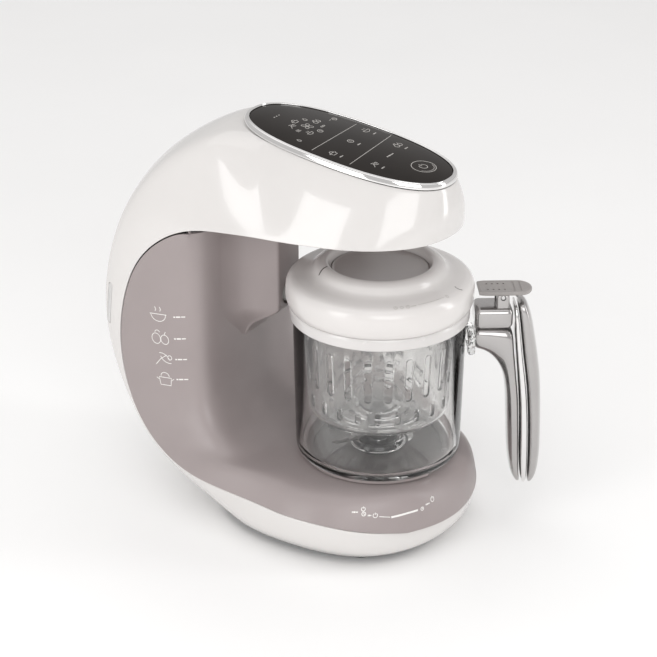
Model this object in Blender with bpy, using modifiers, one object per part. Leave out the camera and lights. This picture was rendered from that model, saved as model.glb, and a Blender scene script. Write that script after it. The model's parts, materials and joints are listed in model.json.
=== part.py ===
"""Baby food maker: steamer and blender with a C-shaped housing and a handled jug.

Lengths are written in millimetres on the jug's axis and scaled to metres where meshes are made.
+Z is up, -Y is the front where the jug goes in, and X = 0 is the housing's plane of symmetry.
"""

from math import asin, atan, cos, pi, radians, sin

import bmesh
import bpy
from mathutils import Matrix, Vector

MM = 0.001
GAP = 0.3
WALL = 2.4

# Overall reach from the jug's axis, which fixes where the frame's origin lies.
REAR_REACH = 190.0
FRONT_REACH = 92.7
AXIS_Y = -(REAR_REACH - FRONT_REACH) / 2

# Head, with the sloping control panel.
PANEL_CENTRE_Y = 23.0
PANEL_HALF_LENGTH = 69.0
PANEL_HALF_WIDTH = 32.5
TRIM_WIDTH = 3.6
PANEL_POWER = 2.4
PANEL_Z = 257.5
PANEL_SLOPE = 0.146
PANEL_THICKNESS = 3.0
HEAD_CENTRE_Y = 35.0
HEAD_HALF_LENGTH = 88.0
HEAD_HALF_WIDTH = 57.5
HEAD_EDGE_Z = 213.0

# Base: the deck's edge, and the smaller flat bottom.
DECK_CENTRE_Y = 17.5
DECK_HALF_LENGTH = 81.0
DECK_HALF_WIDTH = 84.0
DECK_TOP = 53.0
BOTTOM_CENTRE_Y = 30.0
BOTTOM_HALF_LENGTH = 78.0
BOTTOM_HALF_WIDTH = 68.0
BOTTOM_Z = 4.5
FOOT_HEIGHT = 3.0

# Column between base and head.
COLUMN_FRONT = 97.0
COLUMN_HALF_WIDTH = 60.0

# Jug and what it carries.
JUG_BOTTOM = 56.0
JUG_RADIUS = 54.0
JUG_RIM_RADIUS = 55.5
JUG_WALL = 2.2
COLLAR_BOTTOM = 150.5
COLLAR_TOP = 158.5
LID_RADIUS = 60.0
LID_TOP = 188.0
DISC_RADIUS = 31.0
HANDLE_ANGLE = 34.0

# Handle, in the upright plane through the jug's axis. Each section is an inner point, an outer point
# (radius, height) and a width: the grip's body with its arm, the chrome strip in it and the outer cover.
HANDLE_BODY = [
    ((61.5, 126.6), (61.5, 141.9), 19), ((67.5, 124.4), (68.5, 141.9), 20), ((72.5, 120.8), (77, 141.7), 21),
    ((77, 115), (84.5, 139.5), 21.5), ((80.2, 108), (86.8, 124), 22), ((82, 99), (88.8, 107), 22),
    ((83, 89.5), (90.5, 91.5), 22), ((84.2, 70), (91.7, 70), 22), ((85.6, 50), (92.5, 50), 21),
    ((88, 36), (93.5, 36), 18.5), ((91.3, 28.5), (94.7, 28.3), 13),
]
STRIP_SECTIONS = [
    ((85.3, 157), (87.4, 157), 18), ((85.8, 148), (88.6, 148), 22), ((86.7, 135), (90.3, 135), 22.8),
    ((88.2, 120), (92.3, 120), 23), ((89.8, 105), (94.5, 105), 23), ((91.2, 90), (96.2, 90), 23),
    ((92.3, 70), (97.6, 70), 22.8), ((93, 50), (98.4, 50), 21.8), ((94.1, 36), (98.6, 36), 19),
    ((95.6, 27.5), (98.5, 27.5), 13),
]
COVER_SECTIONS = [
    ((89.5, 159.4), (92.2, 159.4), 12), ((88.2, 156.5), (94.6, 156.5), 19), ((89.3, 148), (97.5, 148), 21.5),
    ((91, 135), (100.2, 135), 22), ((93, 120), (102.8, 120), 22), ((95.2, 105), (104.8, 105), 22),
    ((96.9, 90), (105.9, 90), 22), ((98.3, 70), (106.8, 70), 21.5), ((99.1, 50), (107.1, 50), 20.5),
    ((99.3, 36), (105.9, 36), 17.5), ((99.2, 27.5), (103, 27.5), 12),
]
SECTION_POINTS = 12
SECTION_POWER = 0.7

# The block on top of the arm, which carries the lever's pin between two ears.
HEAD_BLOCK_SIZE = (24.2, 22.0, 14.0)
HEAD_BLOCK_PLACE = (72.4, 0.0, 149.3)
EARS_SIZE = (8.0, 16.0, 10.0)
EARS_Z = 160.0
EAR_GAP = 9.0
EAR_GAP_FLOOR = 157.0

# The clear lug that ties the arm to the jug's wall.
CLIP_SIZE = (4.9, 21.0, 15.0)
CLIP_PLACE = (58.7, 0.0, 131.5)

# Drive.
SPINDLE_RADIUS = 4.0
SPINDLE_BOTTOM = 9.0
SPINDLE_TOP = 50.4
BEARING_RADIUS = 9.0
MOTOR_Y = 124.0
MOTOR_RADIUS = 21.0
MOTOR_HEIGHT = 64.0
MOTOR_BOTTOM = 62.0
MOTOR_PULLEY_RADIUS = 9.0
DRIVE_PULLEY_RADIUS = 27.0
BELT_Z = 38.0
BELT_WIDTH = 8.0
BELT_THICKNESS = 2.0

# Dog clutch between base and jug: two lugs on each half, crossed.
COUPLING_RADIUS = 13.0
WELL_RADIUS = 14.6
LUG_HEIGHT = 2.4
LUG_REACH = 6.0
LUG_THICKNESS = 5.0
LUG_MIDDLE = 9.0
DRIVE_LUG_BASE = SPINDLE_TOP + GAP + 2.0
DRIVEN_LUG_TOP = 56.5
DRIVEN_TOP = 58.6
RECESS_RADIUS = 15.0
RECESS_TOP = 59.2
BUSH_RADIUS = 7.5
BASKET_BOTTOM = 84.0
BASKET_RADIUS = 47.5
BASKET_SLOTS = 16

# Seat and its switch.
SEAT_BOTTOM = 53.4
SEAT_RADIUS = 50.0
PLUNGER_RADIUS = 3.0
PLUNGER_PLACE = (0.0, 37.0)

# Steam spout on the column's front.
SPOUT_Z = 149.4
SPOUT_RADIUS = 9.0
SPOUT_SEAL_Y = 93.0
SPOUT_TAIL_Y = 103.2
SPOUT_BORE = 8.5
DOCK_FRONT_Y, DOCK_REAR_Y = 68.6, 94.6
DOCK_HALF_WIDTH, DOCK_ROOT_HALF_WIDTH = 13.0, 38.0
DOCK_ROUNDING = 2.2
# Heights of the dock's sections and how far each has drawn back towards the column.
DOCK_HEIGHTS = [(201.0, 0.0), (139.0, 0.0), (134.0, 0.35), (128.5, 0.75), (124.0, 0.94)]
UNDERSIDE_INSET = 6.5

# Water tank, its filler flap on the upper back and its level window on the left.
TANK_HALF_WIDTH = 42.0
TANK_Y = 159.0
TANK_BOTTOM = 98.0
FLAP_SIZE = (48.0, 40.0, 30.0)
FLAP_PLACE = (0.0, 160.0, 229.0)
FLAP_TILT = radians(-47)
FLAP_HINGE = (0.0, 146.5, 245.5)
WINDOW_SIZE = (16.0, 3.6, 30.0)
WINDOW_PLACE = (-58.0, 173.5, 138.0)
WINDOW_TILT = radians(8)

# Mains inlet low on the back.
INLET_RADIUS = 7.0
INLET_PLACE = (36.0, 166.0, 62.0)

# Thumb lever over the handle.
PIN_RADIUS = 1.4
PIN_REACH = 78.0
PIN_Z = 163.0
PIN_LENGTH = 15.0
LEVER_SIZE = (34.6, 20.0, 2.6)
LEVER_REACH = 79.6
LEVER_Z = 166.8
LEVER_BOSS_SIZE = (5.0, 8.0, 5.6)
SPRING_REACH = 89.0
SPRING_RADIUS = 2.0
SPRING_BOTTOM = 160.9
SPRING_HEIGHT = 2.3
SPRING_WIRE = 0.3
SPRING_TURNS = 2

# Steam and water inside the column: centres, and the sizes across X, Y and Z.
BOILER_PLACE = (-30.0, 124.0, 160.0)
BOILER_RADIUS = 17.0
BOILER_HEIGHT = 48.0
BRACKET_SIZE = (44.0, 34.0, 2.0)
PUMP_PLACE = (32.0, 122.0, 152.0)
PUMP_SIZE = (24.0, 30.0, 34.0)
POWER_BOARD_PLACE = (-50.0, 125.0, 92.0)
POWER_BOARD_SIZE = (1.6, 40.0, 60.0)
TANK_DEPTH = 22.0
TANK_HEIGHT = 78.0
TANK_WALL = 2.0
TUBE_RADIUS = 2.5
STEAM_TUBE_RADIUS = 3.0
CONTROL_BOARD_SIZE = (40.0, 104.0, 1.6)
CONTROL_BOARD_DROP = 11.0
MOUNT_SIZE = (62.0, 44.0, 3.0)

COLOURS = {
    "shell_white": ((0.86, 0.84, 0.82, 1), 0.18, 0.0),
    "liner_grey": ((0.36, 0.32, 0.31, 1), 0.42, 0.0),
    "panel_black": ((0.03, 0.025, 0.022, 1), 0.08, 0.0),
    "chrome": ((0.82, 0.81, 0.80, 1), 0.08, 1.0),
    "clear": ((0.90, 0.92, 0.92, 0.35), 0.05, 0.0),
    "lid_white": ((0.82, 0.81, 0.79, 1), 0.22, 0.0),
    "lever_grey": ((0.40, 0.38, 0.37, 1), 0.4, 0.0),
    "rubber_dark": ((0.05, 0.05, 0.05, 1), 0.8, 0.0),
    "rubber_clear": ((0.70, 0.70, 0.68, 1), 0.6, 0.0),
    "steel": ((0.60, 0.60, 0.60, 1), 0.28, 1.0),
    "plastic_black": ((0.04, 0.04, 0.04, 1), 0.5, 0.0),
    "board_green": ((0.03, 0.16, 0.07, 1), 0.5, 0.0),
    "aluminium": ((0.75, 0.75, 0.76, 1), 0.35, 1.0),
    "brass": ((0.72, 0.52, 0.24, 1), 0.3, 1.0),
}


# ---------------------------------------------------------------- scene and object helpers

def clear_scene():
    for obj in list(bpy.data.objects):
        bpy.data.objects.remove(obj, do_unlink=True)


def make_collection(name):
    collection = bpy.data.collections.new(name)
    bpy.context.scene.collection.children.link(collection)
    return collection


def material(name):
    found = bpy.data.materials.get(name)
    if found:
        return found
    colour, roughness, metallic = COLOURS[name]
    made = bpy.data.materials.new(name)
    made.use_nodes = True
    shader = made.node_tree.nodes["Principled BSDF"]
    shader.inputs["Base Color"].default_value = colour
    shader.inputs["Roughness"].default_value = roughness
    shader.inputs["Metallic"].default_value = metallic
    shader.inputs["Alpha"].default_value = colour[3]
    return made


def add_object(name, mesh, finish, parent, location=(0, 0, 0)):
    """Links a mesh object under a parent empty; location is in millimetres on the jug's axis."""
    obj = bpy.data.objects.new(name, mesh)
    PARTS.objects.link(obj)
    obj.parent = parent
    obj.location = Vector(location) * MM
    mesh.materials.clear()
    mesh.materials.append(material(finish))
    return obj


def mesh_from(verts, faces, name):
    mesh = bpy.data.meshes.new(name)
    mesh.from_pydata([tuple(c * MM for c in v) for v in verts], [], faces)
    mesh.validate()
    return mesh


def smooth(obj, angle=35):
    obj.data.shade_smooth()
    obj.data.set_sharp_from_angle(angle=radians(angle))


def box(name, finish, size, location, parent, bevel=0.0):
    """A box of the given size centred on location, with rounded edges where bevel is given."""
    bm = bmesh.new()
    bmesh.ops.create_cube(bm, size=1.0)
    bmesh.ops.scale(bm, vec=Vector(size) * MM, verts=bm.verts)
    mesh = bpy.data.meshes.new(name)
    bm.to_mesh(mesh)
    bm.free()
    obj = add_object(name, mesh, finish, parent, location)
    if bevel:
        add_bevel(obj, bevel)
    return obj


def add_bevel(obj, width, segments=2):
    modifier = obj.modifiers.new("rounded_edges", "BEVEL")
    modifier.width = width * MM
    modifier.segments = segments
    modifier.limit_method = "ANGLE"
    modifier.angle_limit = radians(40)


def cylinder(name, finish, radius, depth, location, parent, axis="Z", sides=18, top=None, bevel=0.0):
    """A capped cylinder, or a cone where top gives the other radius, centred on location."""
    bm = bmesh.new()
    bmesh.ops.create_cone(bm, cap_ends=True, cap_tris=False, segments=sides, radius1=radius * MM,
                          radius2=(radius if top is None else top) * MM, depth=depth * MM)
    turn = {"Z": Matrix(), "Y": Matrix.Rotation(-pi / 2, 4, "X"), "X": Matrix.Rotation(pi / 2, 4, "Y")}
    bmesh.ops.transform(bm, matrix=turn[axis], verts=bm.verts)
    mesh = bpy.data.meshes.new(name)
    bm.to_mesh(mesh)
    bm.free()
    obj = add_object(name, mesh, finish, parent, location)
    if bevel:
        add_bevel(obj, bevel)
    smooth(obj)
    return obj


def turned(name, finish, profile, parent, location=(0, 0, 0), steps=32, rotation=(0, 0, 0)):
    """A closed profile of (radius, height) points, in order round the section, turned about Z."""
    mesh = bpy.data.meshes.new(name)
    points = [(r * MM, 0, z * MM) for r, z in profile]
    count = len(points)
    mesh.from_pydata(points, [(i, (i + 1) % count) for i in range(count)], [])
    obj = add_object(name, mesh, finish, parent, location)
    obj.rotation_euler = rotation
    screw = obj.modifiers.new("turned", "SCREW")
    screw.angle = 2 * pi
    screw.steps = steps
    screw.render_steps = steps
    screw.use_merge_vertices = True
    screw.merge_threshold = 0.00001
    screw.use_smooth_shade = True
    return obj


def ring(name, finish, outer, inner, low, high, parent, location=(0, 0, 0), steps=32, rotation=(0, 0, 0)):
    profile = [(outer, high), (outer, low), (inner, low), (inner, high)]
    return turned(name, finish, profile, parent, location, steps, rotation)


def baked(obj):
    """Replaces the object's mesh with its evaluated one and drops the modifiers."""
    bpy.context.view_layer.update()
    graph = bpy.context.evaluated_depsgraph_get()
    mesh = bpy.data.meshes.new_from_object(obj.evaluated_get(graph))
    obj.modifiers.clear()
    obj.data = mesh
    return obj


def cut(obj, *cutters, operation="DIFFERENCE"):
    for cutter in cutters:
        PARTS.objects.unlink(cutter)
        CUTTERS.objects.link(cutter)
        cutter.hide_render = True
        cutter.display_type = "WIRE"
        modifier = obj.modifiers.new("cut", "BOOLEAN")
        modifier.operation = operation
        modifier.solver = "EXACT"
        modifier.object = cutter


def tube(name, finish, points, radius, parent):
    """A round rod along points given in millimetres on the jug's axis."""
    curve = bpy.data.curves.new(name, "CURVE")
    curve.dimensions = "3D"
    curve.bevel_depth = radius * MM
    curve.bevel_resolution = 2
    curve.use_fill_caps = True
    spline = curve.splines.new("POLY")
    spline.points.add(len(points) - 1)
    for point, place in zip(spline.points, points):
        point.co = (*(c * MM for c in place), 1)
    obj = bpy.data.objects.new(name, curve)
    PARTS.objects.link(obj)
    obj.parent = parent
    curve.materials.append(material(finish))
    return obj


def rounded_route(corners, steps=5):
    """A smooth route through corners: straight runs joined by quadratic bends."""
    route = [Vector(corners[0])]
    for before, corner, after in zip(corners, corners[1:], corners[2:]):
        before, corner, after = Vector(before), Vector(corner), Vector(after)
        start = corner.lerp(before, 0.4)
        end = corner.lerp(after, 0.4)
        for i in range(steps + 1):
            t = i / steps
            route.append(start.lerp(corner, t).lerp(corner.lerp(end, t), t))
    route.append(Vector(corners[-1]))
    return route


def outline(name, finish, loops, thickness, parent, location, tilt=0.0):
    """A flat plate from one outline, or a ring from two, centred on location and tilted about X."""
    curve = bpy.data.curves.new(name, "CURVE")
    curve.dimensions = "2D"
    curve.fill_mode = "BOTH"
    curve.extrude = thickness / 2 * MM
    for loop in loops:
        spline = curve.splines.new("POLY")
        spline.points.add(len(loop) - 1)
        spline.use_cyclic_u = True
        for point, (x, y) in zip(spline.points, loop):
            point.co = (x * MM, y * MM, 0, 1)
    obj = bpy.data.objects.new(name, curve)
    PARTS.objects.link(obj)
    obj.parent = parent
    obj.location = Vector(location) * MM
    obj.rotation_euler = (tilt, 0, 0)
    curve.materials.append(material(finish))
    return obj


def as_mesh(obj):
    """Turns a curve object into a mesh object with welded caps, in the same place."""
    bpy.context.view_layer.update()
    graph = bpy.context.evaluated_depsgraph_get()
    mesh = bpy.data.meshes.new_from_object(obj.evaluated_get(graph))
    bm = bmesh.new()
    bm.from_mesh(mesh)
    bmesh.ops.remove_doubles(bm, verts=bm.verts, dist=0.00001)
    bm.to_mesh(mesh)
    bm.free()
    made = bpy.data.objects.new(obj.name + "_mesh", mesh)
    PARTS.objects.link(made)
    made.parent = obj.parent
    made.matrix_parent_inverse = obj.matrix_parent_inverse.copy()
    made.matrix_world = obj.matrix_world
    name = obj.name
    bpy.data.objects.remove(obj, do_unlink=True)
    made.name = name
    return made


# ---------------------------------------------------------------- curves of the housing

def oval(half_x, half_y, power, angle):
    """A point on a superellipse; angle runs from the front (-90) by the left side (0) to the rear (90)."""
    c = cos(radians(angle))
    s = sin(radians(angle))
    x = -half_x * abs(c) ** (2 / power)
    y = half_y * abs(s) ** (2 / power) * (1 if s > 0 else -1)
    return x, y


def oval_loop(half_x, half_y, power, count=40):
    """A closed superellipse as (x, y) points."""
    left = [oval(half_x, half_y, power, -90 + 360 / count * i) for i in range(count // 2 + 1)]
    right = [(-x, y) for x, y in reversed(left[1:-1])]
    return left + right


def panel_height(y):
    return PANEL_Z + PANEL_SLOPE * y


def trim_point(angle):
    x, y = oval(PANEL_HALF_WIDTH + TRIM_WIDTH, PANEL_HALF_LENGTH + TRIM_WIDTH, PANEL_POWER, angle)
    y += PANEL_CENTRE_Y
    return Vector((x, y, panel_height(y) - PANEL_THICKNESS - 0.4))


def head_edge(angle):
    x, y = oval(HEAD_HALF_WIDTH, HEAD_HALF_LENGTH, 2.3, angle)
    y += HEAD_CENTRE_Y
    return Vector((x, y, HEAD_EDGE_Z - 0.05 * y))


def deck_edge(angle):
    x, y = oval(DECK_HALF_WIDTH, DECK_HALF_LENGTH, 2.0, angle)
    y += DECK_CENTRE_Y
    return Vector((x, y, 36.0 + 0.18 * min(y, 0.0)))


def bottom_edge(angle):
    x, y = oval(BOTTOM_HALF_WIDTH, BOTTOM_HALF_LENGTH, 2.5, angle)
    return Vector((x, y + BOTTOM_CENTRE_Y, BOTTOM_Z))


# The housing's left side from head to base: the seam with the liner, then the crease beside the spine.
SIDE_STATIONS = [
    ((-59.0, 60, 210.5), (-37.5, 92, 265)),
    ((-60.0, 80, 209), (-43.0, 112, 256)),
    ((-60.0, 98, 207), (-48.0, 128.5, 244.5)),
    ((-60.0, 114, 202), (-52.0, 143, 231)),
    ((-60.0, 128, 194), (-54.0, 155.5, 215)),
    ((-60.0, 141, 183), (-55.0, 165.5, 197)),
    ((-60.0, 152, 168), (-55.0, 173.5, 177)),
    ((-60.0, 160, 147), (-55.0, 179.5, 153)),
    ((-60.0, 165, 122), (-54.0, 181.5, 126)),
    ((-60.0, 164, 96), (-52.0, 178.5, 98)),
    ((-61.0, 157, 72), (-51.0, 168, 72)),
    ((-64.5, 143, 54), (-51.0, 151, 46)),
    ((-71.0, 121, 43), (-52.0, 129, 23)),
]
SHOULDER_SEAM = (-58.3, 46, 211)
HEEL_SEAM = (-78.0, 92, 37)
# The spine's middle line beside those stations.
CROWN = [
    (0, 107, 267.5), (0, 124, 259.5), (0, 140.5, 249), (0, 155, 237), (0, 168, 222), (0, 178.5, 204),
    (0, 186, 183), (0, 190.5, 156), (0, 191, 127), (0, 187.5, 97), (0, 177.5, 68), (0, 160, 41), (0, 134, 18),
]
# How far the bands between those lines swell outwards.
NOSE_HALF_WIDTH = 45.0
HEAD_BULGE = 3.6
SIDE_BULGE = 2.2
HEEL_BULGE = 3.0
HULL_SWELL = 1.09
HULL_DROP = 3.0
SPINE_BOW = 0.30
HEAD_ANGLES = [-90, -72, -54, -36, -18, 0]
TRIM_ANGLES = [-90, -74, -56, -36, -14, 12]
TRIM_REAR = [38, 62, 90]
BASE_ANGLES = [20, 4, -14, -32, -50, -70, -90]
BOTTOM_ANGLES = [24, 6, -13, -32, -50, -70, -90]
BOTTOM_REAR = [46, 66, 90]


def bulged(seam, edge, bulge):
    """A point between seam and edge, pushed outwards from the housing's middle."""
    middle = (seam + edge) / 2
    out = Vector((-1.0, 0.0, 0.0))
    if abs(middle.x) < NOSE_HALF_WIDTH:
        out = Vector((middle.x, middle.y - HEAD_CENTRE_Y, 0)).normalized()
    return middle + out * bulge


def band_rows():
    """Rows of seam, middle and edge points from the head's nose to the base's nose."""
    rows = []
    for head_angle, trim_angle in zip(HEAD_ANGLES, TRIM_ANGLES):
        seam = head_edge(head_angle)
        edge = trim_point(trim_angle)
        rows.append((seam, bulged(seam, edge, HEAD_BULGE), edge))
    stations = [(Vector(SHOULDER_SEAM), trim_point(TRIM_REAR[0]), SIDE_BULGE)]
    stations += [(Vector(seam), Vector(edge), SIDE_BULGE) for seam, edge in SIDE_STATIONS]
    stations.append((Vector(HEEL_SEAM), bottom_edge(BOTTOM_REAR[0]), HEEL_BULGE))
    for seam, edge, bulge in stations:
        rows.append((seam, bulged(seam, edge, bulge), edge))
    for deck_angle, bottom_angle in zip(BASE_ANGLES, BOTTOM_ANGLES):
        seam = deck_edge(deck_angle)
        edge = bottom_edge(bottom_angle)
        middle = seam.lerp(edge, 0.5)
        middle.x *= HULL_SWELL
        middle.y = (middle.y - DECK_CENTRE_Y) * HULL_SWELL + DECK_CENTRE_Y
        middle.z -= HULL_DROP
        rows.append((seam, middle, edge))
    return rows


def spine_rows(edges):
    """Rows of crease, quarter and crown points over the back, from the panel's rear to the bottom's rear."""
    rows = [[edges[0], trim_point(TRIM_REAR[1]), trim_point(TRIM_REAR[2])]]
    for edge, crown in zip(edges[1:-1], CROWN):
        crown = Vector(crown)
        quarter = edge.lerp(crown, 0.5)
        bow = (crown - edge)
        bow.x = 0
        quarter += bow * SPINE_BOW
        rows.append([edge, quarter, crown])
    rows.append([edges[-1], bottom_edge(BOTTOM_REAR[1]), bottom_edge(BOTTOM_REAR[2])])
    return rows


def shell_cage():
    """The open outer surface's left half, as vertices and quads."""
    band = band_rows()
    verts = [point for row in band for point in row]
    faces = []
    for i in range(len(band) - 1):
        for j in range(2):
            a = i * 3 + j
            faces.append((a, a + 1, a + 4, a + 3))
    first = len(HEAD_ANGLES)
    edges = [row[2] for row in band[first:first + len(SIDE_STATIONS) + 2]]
    spine = spine_rows(edges)
    numbers = []
    for k, row in enumerate(spine):
        numbers.append([(first + k) * 3 + 2, len(verts), len(verts) + 1])
        verts += row[1:]
    for upper, lower in zip(numbers, numbers[1:]):
        for j in range(2):
            faces.append((upper[j], upper[j + 1], lower[j + 1], lower[j]))
    return verts, faces


def cage_object(name, finish, cage, parent, thickness):
    """A half cage mirrored, subdivided once and given a wall that grows inwards."""
    obj = add_object(name, mesh_from(*cage, name), finish, parent)
    mirror = obj.modifiers.new("symmetry", "MIRROR")
    mirror.use_clip = True
    mirror.merge_threshold = 0.0001
    subdivide = obj.modifiers.new("soft_form", "SUBSURF")
    subdivide.levels = 1
    subdivide.render_levels = 1
    wall = obj.modifiers.new("wall", "SOLIDIFY")
    wall.thickness = thickness * MM
    wall.offset = -1
    smooth(obj, 50)
    return obj


# How a deck row's half columns spread from the edge (1) to the middle line (0), on the open deck and
# where the row still bends round the column's corner.
DECK_X = [1, 0.89, 0.75, 0.55, 0.3, 0]
DECK_Y = [1, 0.8, 0.55, 0.3, 0.1, 0]
CORNER_X = [1, 0.98, 0.93, 0.79, 0.45, 0]
CORNER_Y = [1, 0.62, 0.28, 0.09, 0.02, 0]
DECK_FALL = [1, 0.2, 0, 0, 0, 0]
FRONT_ANGLES = [-57, -63, -69, -76, -83, -90]
SEAM_INSET = 2.8
DECK_INSET = 4.4


def column_row(seam, front_y, height, spread=0.0):
    """A row from the rear seam along the side, round the front corner to the middle."""
    side = -COLUMN_HALF_WIDTH - spread
    return [
        seam,
        Vector((side, seam.y * 0.5 + (front_y + 10) * 0.5, seam.z * 0.5 + height * 0.5)),
        Vector((side + 1, front_y + 9, height)),
        Vector((side + 10, front_y + 1, height)),
        Vector((side / 2, front_y, height)),
        Vector((0, front_y - 0.5, height)),
    ]


def deck_row(seam, middle_y, bend):
    """A row from the deck's edge up the slope and across the flat top; bend 1 follows the column's corner."""
    row = []
    for k in range(len(DECK_X)):
        x = seam.x * (DECK_X[k] * (1 - bend) + CORNER_X[k] * bend)
        y = middle_y + (seam.y - middle_y) * (DECK_Y[k] * (1 - bend) + CORNER_Y[k] * bend)
        z = DECK_TOP - (DECK_TOP - seam.z) * DECK_FALL[k]
        row.append(Vector((x, y, z)))
    return row


def front_rows():
    """The last two rows: the deck's front slope and its edge round the nose."""
    edge = [deck_edge(angle) for angle in FRONT_ANGLES]
    slope = []
    for k, point in enumerate(edge):
        inward = Vector((-point.x, DECK_CENTRE_Y - point.y, 0)).normalized()
        rise = (DECK_TOP - point.z) * 0.75 * min(1.0, 0.35 + 0.4 * k)
        slope.append(point + inward * (1.0 + 0.9 * min(k, 3)) + Vector((0, 0, rise)))
    return [slope, edge]


def inset_edge(row, distance):
    """Draws a row's first point in from the seam, towards the row's next point."""
    row[0] = row[0] + (row[1] - row[0]).normalized() * distance
    return row


def liner_cage():
    """The grey inner surface's left half: column and deck."""
    seams = [Vector(seam) for seam, _ in SIDE_STATIONS]
    seams[2] = Vector((-COLUMN_HALF_WIDTH, 103, 202.5))
    fronts = [95.5] + [COLUMN_FRONT] * 6 + [COLUMN_FRONT - 0.5, COLUMN_FRONT - 5, COLUMN_FRONT - 19]
    heights = [202.5, 195.5, 186, 172, 156, 137, 116, 94, 74, 59.5]
    spreads = [0.0] * 8 + [1.5, 6.0]
    rows = []
    for seam, front, height, spread in zip(seams[2:12], fronts, heights, spreads):
        rows.append(inset_edge(column_row(seam, front, height, spread), SEAM_INSET))
    deck = [(seams[12], 57, 1.0), (Vector(HEEL_SEAM), 38, 0.75), (deck_edge(20), 21, 0.4)]
    deck += [(deck_edge(4), 4, 0.1), (deck_edge(-14), -14, 0.0), (deck_edge(-32), -32, 0.0)]
    deck.append((deck_edge(-50), -47, 0.0))
    for seam, middle_y, bend in deck:
        rows.append(inset_edge(deck_row(seam, middle_y, bend), DECK_INSET))
    slope, edge = front_rows()
    for k, point in enumerate(edge):
        edge[k] = point + (slope[k] - point).normalized() * DECK_INSET
    rows += [slope, edge]
    width = len(DECK_X)
    verts = [point for row in rows for point in row]
    faces = []
    for i in range(len(rows) - 1):
        for j in range(width - 1):
            a = i * width + j
            faces.append((a, a + width, a + width + 1, a + 1))
    return verts, faces


# ---------------------------------------------------------------- housing

def surface_patch(name, finish, shell, size, location, tilt, parent):
    """The piece of the shell's wall inside a box, for a panel that lies flush in a hole of the shell."""
    patch = add_object(name, shell.data.copy(), finish, parent)
    keep = box(name + "_cutter", finish, size, location, parent)
    keep.rotation_euler = (tilt, 0, 0)
    cut(patch, keep, operation="INTERSECT")
    return patch


def hole_cutter(name, size, location, tilt, parent):
    cutter = box(name, "steel", [side + 2 * GAP for side in size], location, parent)
    cutter.rotation_euler = (tilt, 0, 0)
    return cutter


def make_housing(frame, flap_hinge):
    shell = baked(cage_object("outer_shell", "shell_white", shell_cage(), frame, WALL))
    hinge = flap_hinge.location / MM
    flap = surface_patch("tank_flap", "shell_white", shell, FLAP_SIZE, FLAP_PLACE, FLAP_TILT, frame)
    flap.parent = flap_hinge
    flap.location = -hinge * MM
    surface_patch("level_window", "clear", shell, WINDOW_SIZE, WINDOW_PLACE, WINDOW_TILT, frame)
    cut(shell, hole_cutter("flap_hole", FLAP_SIZE, FLAP_PLACE, FLAP_TILT, frame),
        hole_cutter("window_hole", WINDOW_SIZE, WINDOW_PLACE, WINDOW_TILT, frame),
        cylinder("inlet_hole", "steel", INLET_RADIUS + GAP, 30, INLET_PLACE, frame, axis="Y"))
    liner = baked(cage_object("liner", "liner_grey", liner_cage(), frame, WALL))
    cut(liner, cylinder("well_hole", "steel", WELL_RADIUS, 20, (0, 0, DECK_TOP), frame, sides=32),
        cylinder("spout_hole", "steel", SPOUT_RADIUS + GAP, 20, (0, COLUMN_FRONT, SPOUT_Z), frame, axis="Y"),
        cylinder("plunger_hole", "steel", PLUNGER_RADIUS + GAP, 20, (*PLUNGER_PLACE, DECK_TOP), frame))


def mirrored_loop(left):
    """A left-hand run of (x, y) points and its mirror image as a closed loop."""
    return left + [(-x, y) for x, y in reversed(left) if x]


def make_head(frame):
    tilt = atan(PANEL_SLOPE)
    middle = panel_height(PANEL_CENTRE_Y)
    stretch = 1 / cos(tilt)
    outer = oval_loop(PANEL_HALF_WIDTH + TRIM_WIDTH - 0.2, (PANEL_HALF_LENGTH + TRIM_WIDTH - 0.2) * stretch,
                      PANEL_POWER)
    inner = oval_loop(PANEL_HALF_WIDTH + GAP, (PANEL_HALF_LENGTH + GAP) * stretch, PANEL_POWER)
    plate = oval_loop(PANEL_HALF_WIDTH, PANEL_HALF_LENGTH * stretch, PANEL_POWER)
    outline("panel_trim", "chrome", [outer, inner], PANEL_THICKNESS, frame,
            (0, PANEL_CENTRE_Y, middle - PANEL_THICKNESS / 2 + 0.6), tilt)
    outline("touch_panel", "panel_black", [plate], PANEL_THICKNESS, frame,
            (0, PANEL_CENTRE_Y, middle - PANEL_THICKNESS / 2), tilt)
    board = box("control_board", "board_green", CONTROL_BOARD_SIZE,
                (0, PANEL_CENTRE_Y - 2, middle - CONTROL_BOARD_DROP), frame)
    board.rotation_euler = (tilt, 0, 0)
    rim = [head_edge(angle) for angle in (-90, -80, -70, -60, -50, -40, -28, -14, 0)]
    rim += [Vector((-HEAD_HALF_WIDTH, 60, 0)), Vector((-HEAD_HALF_WIDTH, 88, 0))]
    points = []
    for point in rim:
        out = Vector((point.x, min(0.0, point.y - HEAD_CENTRE_Y) * 0.6, 0)).normalized()
        points.append((point.x - out.x * UNDERSIDE_INSET, point.y - out.y * UNDERSIDE_INSET))
    points[0] = (0.0, points[0][1])
    outline("head_underside", "liner_grey", [mirrored_loop(points)], WALL, frame,
            (0, 0, HEAD_EDGE_Z + 2.4), -atan(0.05))


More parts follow.
